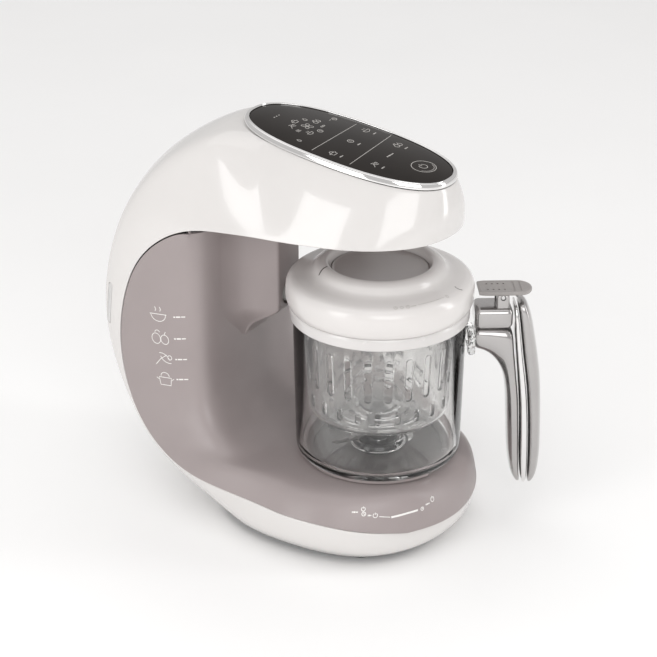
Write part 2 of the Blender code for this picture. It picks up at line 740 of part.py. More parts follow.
def make_underneath(frame):
    cover = oval_loop(BOTTOM_HALF_WIDTH - 5.0, BOTTOM_HALF_LENGTH - 5.0, 2.5)
    plate = as_mesh(outline("bottom_cover", "plastic_black", [cover], WALL, frame,
                            (0, BOTTOM_CENTRE_Y, FOOT_HEIGHT + GAP + 1.0 + WALL / 2)))
    smooth(plate)
    low = FOOT_HEIGHT + 1.0
    for i, (x, y) in enumerate(((-44, -14), (44, -14), (-44, 74), (44, 74))):
        profile = [(8.0, low), (8.6, 0.8), (7.8, 0.0), (0.0, 0.0), (0.0, low)]
        turned(f"foot_{i + 1}", "rubber_dark", profile, frame, (x, y, 0), steps=20)
    for i, (x, y) in enumerate(((-34, -24), (34, -24), (-34, 84), (34, 84))):
        cylinder(f"cover_screw_{i + 1}", "steel", 3.0, 1.6, (x, y, low - 0.8), frame, sides=12)


# ---------------------------------------------------------------- drive

def belt_loop(reach, radius_front, radius_rear, steps=18):
    """The outline of a belt round a front pulley at the origin and a rear one at (0, reach)."""
    lean = asin((radius_front - radius_rear) / reach)
    loop = []
    for i in range(steps + 1):
        angle = lean + (pi - 2 * lean) * i / steps
        loop.append((radius_rear * cos(angle), reach + radius_rear * sin(angle)))
    for i in range(steps + 1):
        angle = pi - lean + (pi + 2 * lean) * i / steps
        loop.append((radius_front * cos(angle), radius_front * sin(angle)))
    return loop


def make_drive(frame, drive_axis, motor_axis):
    cylinder("motor", "steel", MOTOR_RADIUS, MOTOR_HEIGHT, (0, MOTOR_Y, MOTOR_BOTTOM + MOTOR_HEIGHT / 2), frame,
             sides=24, bevel=2.0)
    mount = baked(box("motor_mount", "plastic_black", MOUNT_SIZE,
                      (0, MOTOR_Y - 4, MOTOR_BOTTOM - GAP - MOUNT_SIZE[2] / 2), frame, 0.8))
    cut(mount, cylinder("mount_hole", "steel", 6.0, 12, (0, MOTOR_Y, MOTOR_BOTTOM), frame))
    half = BELT_WIDTH / 2
    flange = 1.2
    top = MOTOR_BOTTOM - GAP
    rim = MOTOR_PULLEY_RADIUS + 1.5
    edge = BELT_Z + half
    profile = [(3.0, top), (3.0, edge + flange), (rim, edge + flange), (rim, edge + 0.2),
               (MOTOR_PULLEY_RADIUS, edge + 0.2), (MOTOR_PULLEY_RADIUS, BELT_Z - half), (0, BELT_Z - half),
               (0, top)]
    turned("motor_pulley", "aluminium", profile, motor_axis, (0, 0, 0), steps=20)
    wheel = DRIVE_PULLEY_RADIUS
    bore = SPINDLE_RADIUS + GAP
    hub = 7.0
    foot = BELT_Z - half
    profile = [(hub, edge + 1.5), (hub, BELT_Z + 2), (wheel - 3, BELT_Z + 2), (wheel - 3, edge), (wheel, edge),
               (wheel, foot), (wheel - 3, foot), (wheel - 3, BELT_Z - 2), (hub, BELT_Z - 2), (hub, foot),
               (bore, foot), (bore, edge + 1.5)]
    turned("drive_pulley", "plastic_black", profile, drive_axis, (0, 0, 0), steps=32)
    outer = belt_loop(MOTOR_Y, wheel + GAP + BELT_THICKNESS, MOTOR_PULLEY_RADIUS + GAP + BELT_THICKNESS)
    inner = belt_loop(MOTOR_Y, wheel + GAP, MOTOR_PULLEY_RADIUS + GAP)
    outline("drive_belt", "rubber_dark", [outer, inner], BELT_WIDTH - 1.0, frame, (0, 0, BELT_Z))
    cylinder("drive_spindle", "steel", SPINDLE_RADIUS, SPINDLE_TOP - SPINDLE_BOTTOM,
             (0, 0, (SPINDLE_TOP + SPINDLE_BOTTOM) / 2), drive_axis, sides=20)
    for name, low in (("lower_bearing", SPINDLE_BOTTOM + 1), ("upper_bearing", SPINDLE_BOTTOM + 12)):
        ring(name, "steel", BEARING_RADIUS, SPINDLE_RADIUS + 0.15, low, low + 6, frame, steps=20)
    low = FOOT_HEIGHT + GAP + 1.0 + WALL + GAP
    high = SPINDLE_BOTTOM + 18.5
    profile = [(BEARING_RADIUS + 3, high), (BEARING_RADIUS + 3, low + 2), (BEARING_RADIUS + 9, low + 2),
               (BEARING_RADIUS + 9, low), (BEARING_RADIUS + GAP, low), (BEARING_RADIUS + GAP, high)]
    turned("bearing_housing", "plastic_black", profile, frame, (0, 0, 0), steps=20)
    disc = cylinder("drive_coupling", "plastic_black", COUPLING_RADIUS, 2.0, (0, 0, SPINDLE_TOP + GAP + 1.0),
                    drive_axis, sides=18)
    disc = baked(disc)
    for side in (-1, 1):
        lug = box("drive_lug", "plastic_black", (LUG_REACH, LUG_THICKNESS, LUG_HEIGHT + 0.5),
                  (side * LUG_MIDDLE, 0, DRIVE_LUG_BASE + LUG_HEIGHT / 2 - 0.25), drive_axis)
        cut(disc, lug, operation="UNION")


# ---------------------------------------------------------------- steam and water

def dock_ring(z, back):
    """The steam dock's outline at one height: a blunt prow that flares into the column."""
    front = DOCK_FRONT_Y + (DOCK_REAR_Y - 1.5 - DOCK_FRONT_Y) * back
    root = DOCK_HALF_WIDTH + (DOCK_ROOT_HALF_WIDTH - DOCK_HALF_WIDTH) * (1 - back * 0.4)
    reach = min(DOCK_ROUNDING, (DOCK_REAR_Y - front) / 3)
    side = [(DOCK_HALF_WIDTH - reach, front)]
    start = Vector((DOCK_HALF_WIDTH, front + reach))
    bend = Vector((DOCK_HALF_WIDTH + 2, DOCK_REAR_Y - 3 * (1 - back)))
    end = Vector((root, DOCK_REAR_Y))
    for k in range(6):
        t = k / 5
        side.append(start.lerp(bend, t).lerp(bend.lerp(end, t), t))
    right = [Vector((x, y, z)) for x, y in side]
    return right + [Vector((-point.x, point.y, z)) for point in reversed(right)]


def make_steam(frame, spout_axis):
    x, y, z = BOILER_PLACE
    boiler_foot = z - BOILER_HEIGHT / 2
    boiler_top = z + BOILER_HEIGHT / 2
    cylinder("boiler", "aluminium", BOILER_RADIUS, BOILER_HEIGHT, BOILER_PLACE, frame, sides=18, bevel=2.0)
    box("boiler_bracket", "steel", BRACKET_SIZE, (x, y, boiler_foot - 0.5 - BRACKET_SIZE[2] / 2), frame)
    box("pump", "plastic_black", PUMP_SIZE, PUMP_PLACE, frame, 3.0)
    box("power_board", "board_green", POWER_BOARD_SIZE, POWER_BOARD_PLACE, frame)
    tank_middle = (0, TANK_Y, TANK_BOTTOM + TANK_HEIGHT / 2)
    tank_size = (TANK_HALF_WIDTH * 2, TANK_DEPTH, TANK_HEIGHT)
    tank = baked(box("water_tank", "clear", tank_size, tank_middle, frame, 3.0))
    hollow = box("tank_hollow", "clear",
                 (TANK_HALF_WIDTH * 2 - 2 * TANK_WALL, TANK_DEPTH - 2 * TANK_WALL, TANK_HEIGHT + 12),
                 (0, TANK_Y, TANK_BOTTOM + TANK_HEIGHT / 2 + 8), frame)
    cut(tank, hollow)
    ring("filler_neck", "plastic_black", 12.5, 10.5, 0, 24, frame,
         (0, TANK_Y - 1, TANK_BOTTOM + TANK_HEIGHT + 2), steps=16)
    pump_x, pump_y, pump_z = PUMP_PLACE
    pump_foot = pump_z - PUMP_SIZE[2] / 2 - 0.5
    pump_top = pump_z + PUMP_SIZE[2] / 2 + 0.6
    draw_z = TANK_BOTTOM + 14
    tube("water_tube", "rubber_clear",
         rounded_route([(pump_x, TANK_Y - 14.5, draw_z), (pump_x, pump_y, draw_z),
                        (pump_x, pump_y, pump_foot)]), TUBE_RADIUS, frame)
    tube("feed_tube", "rubber_clear",
         rounded_route([(pump_x, pump_y, pump_top), (pump_x, pump_y, 186), (0, 118, 194), (x, y, 194),
                        (x, y, boiler_top + 0.6)]), TUBE_RADIUS, frame)
    tube("steam_tube", "rubber_clear",
         rounded_route([(x + BOILER_RADIUS + 0.6, y, z), (0, y, z - 2), (0, 116, SPOUT_Z),
                        (0, 103.6, SPOUT_Z)]), STEAM_TUBE_RADIUS, frame)
    bore = SPOUT_RADIUS - 2
    profile = [(SPOUT_RADIUS, 0), (SPOUT_RADIUS, 19), (bore, 19), (bore, 3.5), (0, 3.5), (0, 0)]
    pipe = turned("spout_pipe", "liner_grey", [(r, -z) for r, z in profile], frame,
                  (0, SPOUT_TAIL_Y, SPOUT_Z), steps=20, rotation=(radians(-90), 0, 0))
    block = skin("steam_spout", "liner_grey", [dock_ring(z, back) for z, back in DOCK_HEIGHTS], frame)
    seal_bore = cylinder("seal_bore", "steel", SPOUT_BORE, 30, (0, (DOCK_FRONT_Y + DOCK_REAR_Y) / 2, SPOUT_Z),
                         frame, axis="Y")
    cut(block, seal_bore)
    cut(block, pipe, operation="UNION")
    profile = [(6.4, 0), (6.4, 30.4), (8.2, 32), (8.2, 34.9), (3.5, 34.9), (3.5, 0)]
    turned("spout_seal", "rubber_clear", [(r, -z) for r, z in profile], spout_axis,
           (0, 0, 0), steps=20, rotation=(radians(-90), 0, 0))


# ---------------------------------------------------------------- seat

def make_seat(frame, seat):
    """The turning seat ring, open at the front, and the switch plunger under the jug."""
    base = baked(ring("seat_ring", "liner_grey", SEAT_RADIUS, SEAT_RADIUS - 7, SEAT_BOTTOM, JUG_BOTTOM - GAP,
                      seat, steps=32))
    cut(base, box("seat_opening", "steel", (31, 60, 10), (0, -40, SEAT_BOTTOM), seat))
    x, y = PLUNGER_PLACE
    cylinder("seat_plunger", "plastic_black", PLUNGER_RADIUS, 9, (x, y, JUG_BOTTOM - GAP - 4.5), frame, sides=16)
    cylinder("seat_switch", "plastic_black", 6, 8, (x, y, JUG_BOTTOM - GAP - 9 - 3.4 - 4), frame, sides=16)
    cylinder("power_inlet", "plastic_black", INLET_RADIUS, 12, INLET_PLACE, frame, axis="Y", bevel=1.0)


# ---------------------------------------------------------------- jug

def spun_about_front(angle):
    """The turn about Z that takes +X to a direction the given angle from the front towards the right."""
    return radians(angle - 90)


def make_jug(jug):
    inner_floor = JUG_BOTTOM + JUG_WALL
    boss_top = RECESS_TOP + JUG_WALL
    profile = [
        (JUG_RIM_RADIUS, COLLAR_BOTTOM - GAP), (JUG_RADIUS, JUG_BOTTOM + 2.8), (JUG_RADIUS - 2, JUG_BOTTOM),
        (RECESS_RADIUS, JUG_BOTTOM), (RECESS_RADIUS, RECESS_TOP), (BUSH_RADIUS + GAP, RECESS_TOP),
        (BUSH_RADIUS + GAP, boss_top), (RECESS_RADIUS + JUG_WALL, boss_top),
        (RECESS_RADIUS + JUG_WALL + 2, inner_floor), (JUG_RADIUS - 6, inner_floor),
        (JUG_RADIUS - JUG_WALL - 0.3, JUG_BOTTOM + 6), (JUG_RIM_RADIUS - JUG_WALL, COLLAR_BOTTOM - GAP),
    ]
    turned("jug_body", "clear", profile, jug, steps=32)
    profile = [(57.6, COLLAR_TOP), (57.6, COLLAR_BOTTOM), (53.2, COLLAR_BOTTOM), (53.2, COLLAR_BOTTOM + 3),
               (54.6, COLLAR_TOP)]
    turned("jug_collar", "clear", profile, jug, steps=32)
    ring("blade_bush", "plastic_black", BUSH_RADIUS, 3.3, RECESS_TOP - 0.1, boss_top + 3, jug, steps=20)


def make_basket(jug):
    """A steaming basket with upright slots near its rim and small ones round its foot."""
    low, high = BASKET_BOTTOM, COLLAR_BOTTOM - 1
    wall = 1.6
    profile = [(51.4, high), (BASKET_RADIUS, low + 3), (BASKET_RADIUS - 3, low), (0, low), (0, low + wall),
               (BASKET_RADIUS - 4, low + wall), (BASKET_RADIUS - wall, low + 4), (51.4 - wall, high)]
    basket = baked(turned("steam_basket", "clear", profile, jug, steps=32))
    slots = bmesh.new()
    for height, tall in ((high - 20, 22.0), (low + 16, 9.0)):
        for i in range(BASKET_SLOTS // 2):
            turn = Matrix.Rotation(2 * pi * (i + 0.5) / BASKET_SLOTS, 4, "Z")
            size = Matrix.Diagonal((130 * MM, 5.0 * MM, tall * MM, 1))
            place = Matrix.Translation((0, 0, height * MM))
            bmesh.ops.create_cube(slots, size=1.0, matrix=turn @ place @ size)
    mesh = bpy.data.meshes.new("basket_slots")
    slots.to_mesh(mesh)
    slots.free()
    cut(basket, add_object("basket_slots", mesh, "steel", jug))
    basket.modifiers["cut"].use_self = True


def make_blades(blades):
    foot = DRIVEN_TOP + GAP
    profile = [(3.0, 80), (8.0, 76), (8.0, 68), (3.0, 68), (3.0, foot), (0, foot), (0, 80)]
    turned("blade_hub", "plastic_black", profile, blades, steps=20)
    star = []
    for i in range(4):
        for reach, lead in ((11.0, -45.0), (33.0, -14.0), (36.0, 0.0), (13.0, 10.0)):
            angle = radians(90 * i + lead)
            star.append((reach * cos(angle), reach * sin(angle)))
    hole = [(8.3 * cos(2 * pi * i / 20), 8.3 * sin(2 * pi * i / 20)) for i in range(20)]
    outline("blades", "steel", [star, hole], 1.2, blades, (0, 0, 71))
    disc = baked(cylinder("driven_coupling", "plastic_black", COUPLING_RADIUS, DRIVEN_TOP - DRIVEN_LUG_TOP,
                          (0, 0, (DRIVEN_TOP + DRIVEN_LUG_TOP) / 2), blades, sides=18))
    for side in (-1, 1):
        lug = box("driven_lug", "plastic_black", (LUG_THICKNESS, LUG_REACH, LUG_HEIGHT + 0.5),
                  (0, side * LUG_MIDDLE, DRIVEN_LUG_TOP - LUG_HEIGHT / 2 + 0.25), blades)
        cut(disc, lug, operation="UNION")


def make_lid(lid):
    low = COLLAR_TOP + GAP
    outer = [(57.6, low), (59.2, low + 3), (LID_RADIUS, low + 7), (LID_RADIUS, low + 11), (57.5, low + 16.5),
             (52, low + 20.5), (46, LID_TOP - 3.5), (41, LID_TOP - 0.6), (37.5, LID_TOP), (34, LID_TOP - 1.6),
             (DISC_RADIUS + GAP, LID_TOP - 5.0)]
    inner = [(DISC_RADIUS + GAP, LID_TOP - 8.4), (38, LID_TOP - 5.0), (45, LID_TOP - 7.5), (51, low + 15.5),
             (56.4, low + 9), (56.4, low + 3), (54.0, low)]
    turned("lid", "lid_white", [*reversed(inner), *reversed(outer)], lid, steps=32)
    top = LID_TOP - 5.2
    profile = [(DISC_RADIUS, top), (DISC_RADIUS, top - 3.0), (0, top - 4.6), (0, top - 2.2), (18, top - 1.6)]
    turned("lid_disc", "liner_grey", profile, lid, steps=32)
    ring("lid_seal", "rubber_clear", 56.0, 53.6, low + 3.4, low + 6.4, lid, steps=32)


def section_ring(inner, outer, width):
    """A rounded section between an inner and an outer (radius, height) point, width across the plane."""
    low = Vector((inner[0], 0, inner[1]))
    high = Vector((outer[0], 0, outer[1]))
    middle = (low + high) / 2
    points = []
    for i in range(SECTION_POINTS):
        angle = 2 * pi * i / SECTION_POINTS
        reach = abs(cos(angle)) ** SECTION_POWER * (1 if cos(angle) > 0 else -1)
        side = abs(sin(angle)) ** SECTION_POWER * (1 if sin(angle) > 0 else -1)
        points.append(middle + (high - low) / 2 * reach + Vector((0, width / 2 * side, 0)))
    return points


def lofted(name, finish, sections, parent):
    """A solid through rounded sections, closed by flat ends."""
    return skin(name, finish, [section_ring(*section) for section in sections], parent)


def skin(name, finish, rings, parent):
    """A solid through rings of equal length, closed by flat ends."""
    count = len(rings[0])
    verts = [point for ring in rings for point in ring]
    faces = [tuple(reversed(range(count)))]
    for i in range(len(rings) - 1):
        for j in range(count):
            a, b = i * count + j, i * count + (j + 1) % count
            faces.append((a, b, b + count, a + count))
    faces.append(tuple(range(len(verts) - count, len(verts))))
    obj = add_object(name, mesh_from(verts, faces, name), finish, parent)
    bm = bmesh.new()
    bm.from_mesh(obj.data)
    bmesh.ops.recalc_face_normals(bm, faces=bm.faces)
    bm.to_mesh(obj.data)
    bm.free()
    smooth(obj, 50)
    return obj


def make_handle(handle, lever_axis):
    lofted("handle_shell", "lid_white", HANDLE_BODY, handle)
    lofted("handle_strip", "chrome", STRIP_SECTIONS, handle)
    lofted("handle_cover", "lid_white", COVER_SECTIONS, handle)
    box("handle_clip", "clear", CLIP_SIZE, CLIP_PLACE, handle, 1.2)
    block = baked(box("handle_head", "lid_white", HEAD_BLOCK_SIZE, HEAD_BLOCK_PLACE, handle, 2.0))
    cut(block, box("ears", "steel", EARS_SIZE, (PIN_REACH, 0, EARS_Z), handle), operation="UNION")
    cut(block, box("ear_gap", "steel", (20, EAR_GAP, 10), (PIN_REACH, 0, EAR_GAP_FLOOR + 5), handle),
        cylinder("ear_hole", "steel", PIN_RADIUS + GAP, 30, (PIN_REACH, 0, PIN_Z), handle, axis="Y", sides=16))
    cylinder("lever_pin", "steel", PIN_RADIUS, PIN_LENGTH, (PIN_REACH, 0, PIN_Z), handle, axis="Y", sides=16)
    make_lever(handle, lever_axis)


def make_lever(handle, lever_axis):
    """The thumb lever on its pin, and the coil spring that lifts its outer end."""
    plate = baked(box("thumb_lever", "lever_grey", LEVER_SIZE, (LEVER_REACH - PIN_REACH, 0, LEVER_Z - PIN_Z),
                      lever_axis, 0.8))
    boss_z = LEVER_Z - PIN_Z - LEVER_SIZE[2] / 2 + 0.4 - LEVER_BOSS_SIZE[2] / 2
    boss = box("lever_boss", "steel", LEVER_BOSS_SIZE, (0, 0, boss_z), lever_axis)
    bore = cylinder("lever_bore", "steel", PIN_RADIUS + GAP, 30, (0, 0, 0), lever_axis, axis="Y", sides=16)
    cut(plate, boss, operation="UNION")
    cut(plate, bore)
    coil = []
    per_turn = 8
    steps = SPRING_TURNS * per_turn
    for i in range(steps + 1):
        angle = 2 * pi * i / per_turn
        coil.append((SPRING_REACH + SPRING_RADIUS * cos(angle), SPRING_RADIUS * sin(angle),
                     SPRING_BOTTOM + SPRING_HEIGHT * i / steps))
    tube("lever_spring", "steel", coil, SPRING_WIRE, handle)


def empty(name, location, parent, rotation=(0, 0, 0)):
    made = bpy.data.objects.new(name, None)
    PARTS.objects.link(made)
    made.parent = parent
    made.location = Vector(location) * MM
    made.rotation_euler = rotation
    return made


def main():
    clear_scene()
    frame = empty("food_maker_frame", (0, AXIS_Y, 0), None)
    drive_axis = empty("drive_axis", (0, 0, 0), frame)
    motor_axis = empty("motor_axis", (0, MOTOR_Y, 0), frame)
    flap_hinge = empty("flap_hinge", FLAP_HINGE, frame)
    spout_axis = empty("spout_axis", (0, SPOUT_SEAL_Y, SPOUT_Z), frame)
    seat = empty("seat_axis", (0, 0, 0), frame)
    jug = empty("jug_axis", (0, 0, 0), frame)
    blades = empty("blade_axis", (0, 0, 0), jug)
    lid = empty("lid_axis", (0, 0, 0), jug)
    handle = empty("handle_plane", (0, 0, 0), jug, (0, 0, spun_about_front(HANDLE_ANGLE)))
    lever_axis = empty("lever_axis", (PIN_REACH, 0, PIN_Z), handle)
    make_housing(frame, flap_hinge)
    make_head(frame)
    make_underneath(frame)
    make_drive(frame, drive_axis, motor_axis)
    make_steam(frame, spout_axis)
    make_seat(frame, seat)
    make_jug(jug)
    make_basket(jug)
    make_blades(blades)
    make_lid(lid)
    make_handle(handle, lever_axis)


PARTS = make_collection("baby_food_maker")
CUTTERS = make_collection("cutters")
main()
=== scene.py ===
"""Looks of the baby food maker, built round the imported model.

Lengths are in millimetres on the jug's axis: +Z up, -Y the front, X = 0 the plane of symmetry.
"""
import json
from math import atan, cos, pi, radians, sin

import bmesh
import bpy
from mathutils import Matrix, Vector
from mathutils.bvhtree import BVHTree

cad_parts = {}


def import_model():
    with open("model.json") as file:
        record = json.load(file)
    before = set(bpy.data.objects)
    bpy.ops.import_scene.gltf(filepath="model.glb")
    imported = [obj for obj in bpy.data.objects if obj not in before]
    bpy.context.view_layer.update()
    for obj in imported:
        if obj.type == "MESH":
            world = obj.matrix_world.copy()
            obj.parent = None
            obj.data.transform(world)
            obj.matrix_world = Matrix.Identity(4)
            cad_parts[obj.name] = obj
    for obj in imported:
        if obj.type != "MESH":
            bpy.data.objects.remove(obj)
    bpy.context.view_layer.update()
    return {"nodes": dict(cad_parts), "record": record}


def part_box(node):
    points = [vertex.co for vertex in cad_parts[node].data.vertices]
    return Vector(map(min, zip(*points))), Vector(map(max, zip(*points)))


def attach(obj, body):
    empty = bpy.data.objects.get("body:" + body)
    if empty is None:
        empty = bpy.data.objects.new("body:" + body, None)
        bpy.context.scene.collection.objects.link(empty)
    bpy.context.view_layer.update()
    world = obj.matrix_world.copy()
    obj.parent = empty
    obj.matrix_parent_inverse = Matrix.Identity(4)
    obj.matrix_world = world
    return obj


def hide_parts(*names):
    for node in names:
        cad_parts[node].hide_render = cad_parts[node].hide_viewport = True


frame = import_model()
MM = 0.001
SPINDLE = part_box("drive_spindle")
AXIS = Vector((0, (SPINDLE[0][1] + SPINDLE[1][1]) / 2, 0))
JUG_TURN = 34
HANDLE_PLANE = Matrix.Rotation(radians(JUG_TURN - 90), 4, "Z")
SLOT_OF = {part["node"]: part["material_slot"] for part in frame["record"]["subparts"]}


# ---------------------------------------------------------------- materials

def added(tree, kind, **inputs):
    """A new shader node with its inputs set, or linked where the value is another node's socket."""
    node = tree.nodes.new("ShaderNode" + kind)
    for name, value in inputs.items():
        socket = node.inputs[name.replace("_", " ")]
        if isinstance(value, bpy.types.NodeSocket):
            tree.links.new(value, socket)
        else:
            socket.default_value = value
    return node


def noise(tree, source, scale, detail, rough, stretch=None):
    """A noise texture over the source's coordinates; stretch draws it out along an axis."""
    if stretch:
        source = added(tree, "Mapping", Scale=stretch, Vector=source).outputs["Vector"]
    return added(tree, "TexNoise", Scale=scale, Detail=detail, Roughness=rough, Vector=source).outputs["Fac"]


def ranged(tree, value, low, high):
    """Spreads the middle part of a noise over low to high."""
    node = added(tree, "MapRange", Value=value, From_Min=0.3, From_Max=0.7, To_Min=low, To_Max=high)
    return node.outputs["Result"]


def blended(tree, factor, dark, light):
    node = tree.nodes.new("ShaderNodeMix")
    node.data_type = "RGBA"
    node.inputs["A"].default_value = (*dark, 1)
    node.inputs["B"].default_value = (*light, 1)
    tree.links.new(factor, node.inputs["Factor"])
    return node.outputs["Result"]


def finish(name, colour, roughness, spread, mottle, mottle_scale, grain, grain_scale, depth, stretch=None,
           **sockets):
    """A moulded or metal finish: cloudy colour, uneven gloss and a fine grained surface."""
    made = bpy.data.materials.new(name)
    made.use_nodes = True
    tree = made.node_tree
    shader = tree.nodes["Principled BSDF"]
    coords = tree.nodes.new("ShaderNodeTexCoord").outputs["Object"]
    cloud = ranged(tree, noise(tree, coords, mottle_scale, 4.0, 0.55), 0.0, 1.0)
    dark = [max(0.0, c * (1 - mottle)) for c in colour]
    light = [min(1.0, c * (1 + mottle)) for c in colour]
    uneven = noise(tree, coords, mottle_scale * 3.1, 5.0, 0.65, stretch)
    rough = ranged(tree, uneven, max(0.0, roughness - spread), min(1.0, roughness + spread))
    grains = noise(tree, coords, grain_scale, 2.0, 0.6, stretch)
    bump = added(tree, "Bump", Strength=grain, Distance=depth, Height=grains)
    tree.links.new(blended(tree, cloud, dark, light), shader.inputs["Base Color"])
    tree.links.new(rough, shader.inputs["Roughness"])
    tree.links.new(bump.outputs["Normal"], shader.inputs["Normal"])
    for socket, value in sockets.items():
        shader.inputs[socket.replace("_", " ")].default_value = value
    return made


# Each finish: name, colour, roughness and its spread, mottle and its scale, then the grain's strength,
# scale and depth.
FINISH = {
    "shell_white": finish("gloss_white", (0.66, 0.64, 0.625), 0.13, 0.035, 0.012, 22, 0.10, 420, 0.00006,
                          Coat_Weight=0.5, Coat_Roughness=0.04),
    "liner_grey": finish("satin_grey", (0.315, 0.272, 0.268), 0.36, 0.05, 0.025, 30, 0.45, 2600, 0.00005),
    "panel_black": finish("gloss_black", (0.018, 0.0145, 0.0125), 0.10, 0.03, 0.2, 30, 0.05, 500, 0.00004,
                          Specular_IOR_Level=0.1),
    "chrome": finish("chrome_plate", (0.80, 0.79, 0.785), 0.07, 0.03, 0.02, 60, 0.06, 700, 0.00004,
                     Metallic=1.0),
    "clear": finish("clear_plastic", (0.985, 0.985, 0.98), 0.025, 0.015, 0.01, 50, 0.10, 260, 0.00004,
                    Transmission_Weight=1.0, IOR=1.46),
    "lid_white": finish("pearl_white", (0.67, 0.645, 0.63), 0.20, 0.04, 0.02, 40, 0.15, 1500, 0.00004,
                        Coat_Weight=0.35, Coat_Roughness=0.06),
    "lever_grey": finish("satin_lever", (0.30, 0.28, 0.27), 0.34, 0.06, 0.05, 80, 0.5, 2600, 0.00005),
    "rubber_dark": finish("foot_rubber", (0.035, 0.034, 0.033), 0.75, 0.1, 0.2, 120, 0.7, 2400, 0.0001),
    "rubber_clear": finish("silicone", (0.62, 0.61, 0.59), 0.45, 0.08, 0.05, 90, 0.4, 1800, 0.00008,
                           Transmission_Weight=0.35, IOR=1.41),
    "steel": finish("ground_steel", (0.58, 0.575, 0.57), 0.24, 0.08, 0.05, 60, 0.35, 900, 0.00005,
                    (1.0, 1.0, 9.0), Metallic=1.0),
    "plastic_black": finish("matte_black", (0.028, 0.027, 0.027), 0.46, 0.08, 0.15, 70, 0.6, 2200, 0.00007),
    "board_green": finish("solder_mask", (0.02, 0.13, 0.055), 0.38, 0.1, 0.2, 160, 0.5, 900, 0.00008),
    "aluminium": finish("cast_aluminium", (0.66, 0.66, 0.67), 0.36, 0.08, 0.05, 110, 0.6, 1500, 0.0001,
                        Metallic=1.0),
}
FROSTED = finish("frosted_band", (0.62, 0.60, 0.59), 0.24, 0.05, 0.02, 50, 0.2, 1400, 0.00004,
                 Coat_Weight=0.6, Coat_Roughness=0.04)
BASKET_CLEAR = finish("basket_plastic", (0.97, 0.965, 0.96), 0.05, 0.025, 0.015, 70, 0.2, 900, 0.00005,
                      Transmission_Weight=0.93, IOR=1.46)
PEARL = finish("pearl_handle", (0.43, 0.415, 0.41), 0.16, 0.04, 0.03, 40, 0.15, 1500, 0.00004, Metallic=0.85,
               Coat_Weight=0.8, Coat_Roughness=0.04)
DISC_GREY = finish("disc_grey", (0.42, 0.39, 0.38), 0.12, 0.04, 0.02, 40, 0.3, 2200, 0.00004)
PRINT_WHITE = finish("print_white", (0.80, 0.78, 0.76), 0.42, 0.06, 0.06, 300, 0.3, 3000, 0.00003)
PRINT_PALE = finish("print_pale", (0.46, 0.44, 0.42), 0.40, 0.06, 0.10, 300, 0.3, 3000, 0.00003)
# A dark grey for the dark marks on the lid.
DARK_MARK = finish("dark_mark", (0.10, 0.09, 0.085), 0.40, 0.06, 0.10, 300, 0.3, 3000, 0.00003)
WINDOW_SMOKE = finish("window_smoke", (0.78, 0.77, 0.76), 0.08, 0.03, 0.05, 60, 0.1, 600, 0.00004,
                      Transmission_Weight=0.3, IOR=1.46)


# ---------------------------------------------------------------- building helpers

def world(point):
    """A point on the jug's axis in millimetres, as a place in the row frame."""
    return Vector(point) * MM + AXIS


def mesh_of(name, verts, faces):
    """A mesh with its faces turned outwards, from points in millimetres."""
    mesh = bpy.data.meshes.new(name)
    mesh.from_pydata([world(v) for v in verts], [], faces)
    bm = bmesh.new()
    bm.from_mesh(mesh)
    bmesh.ops.remove_doubles(bm, verts=bm.verts, dist=0.000002)
    bmesh.ops.recalc_face_normals(bm, faces=bm.faces)
    bm.to_mesh(mesh)
    bm.free()
    return mesh


def object_of(name, mesh, angle=38):
    obj = bpy.data.objects.new(name, mesh)
    bpy.context.scene.collection.objects.link(obj)
    if len(mesh.polygons):
        mesh.shade_smooth()
        mesh.set_sharp_from_angle(angle=radians(angle))
    return obj


def applied(obj, angle=38):
    """Applies the modifiers and returns the same object with the evaluated mesh."""
    bpy.context.view_layer.update()
    graph = bpy.context.evaluated_depsgraph_get()
    mesh = bpy.data.meshes.new_from_object(obj.evaluated_get(graph))
    obj.modifiers.clear()
    obj.data = mesh
    mesh.shade_smooth()
    mesh.set_sharp_from_angle(angle=radians(angle))
    return obj


def cut(obj, *cutters, operation="DIFFERENCE"):
    """Applies Booleans with the cutters one after the other, and removes the cutters."""
    for cutter in cutters:
        modifier = obj.modifiers.new("cut", "BOOLEAN")
        modifier.operation = operation
        modifier.solver = "EXACT"
        modifier.object = cutter
        applied(obj)
        bpy.data.objects.remove(cutter, do_unlink=True)
    return obj


def edged(obj, width, segments=3, angle=50):
    """Rounds the object's sharp edges."""
    bevel = obj.modifiers.new("rounded_edges", "BEVEL")
    bevel.width = width * MM
    bevel.segments = segments
    bevel.limit_method = "ANGLE"
    bevel.angle_limit = radians(angle)
    return applied(obj)


def dress(obj, node, material=None, replaces=True):
    """Gives a piece its finish and the CAD body that it rides on, and hides the CAD node when the piece
    replaces it.
    """
    obj.data.materials.clear()
    obj.data.materials.append(material or FINISH[SLOT_OF[node]])
    body = next(name for name, nodes in frame["record"]["behaviour"]["bodies"].items() if node in nodes)
    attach(obj, body)
    if replaces:
        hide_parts(node)
    return obj


def rounded(points, steps=4):
    """A closed outline of (r, z) or (r, z, fillet) points with its corners rounded."""
    outline = []
    count = len(points)
    for i, corner in enumerate(points):
        here = Vector(corner[:2])
        fillet = corner[2] if len(corner) > 2 else 0.0
        if not fillet:
            outline.append(here)
            continue
        before = Vector(points[i - 1][:2]) - here
        after = Vector(points[(i + 1) % count][:2]) - here
        start = here + before.normalized() * min(fillet, before.length * 0.48)
        end = here + after.normalized() * min(fillet, after.length * 0.48)
        for k in range(steps + 1):
            t = k / steps
            outline.append(start.lerp(here, t).lerp(here.lerp(end, t), t))
    return outline


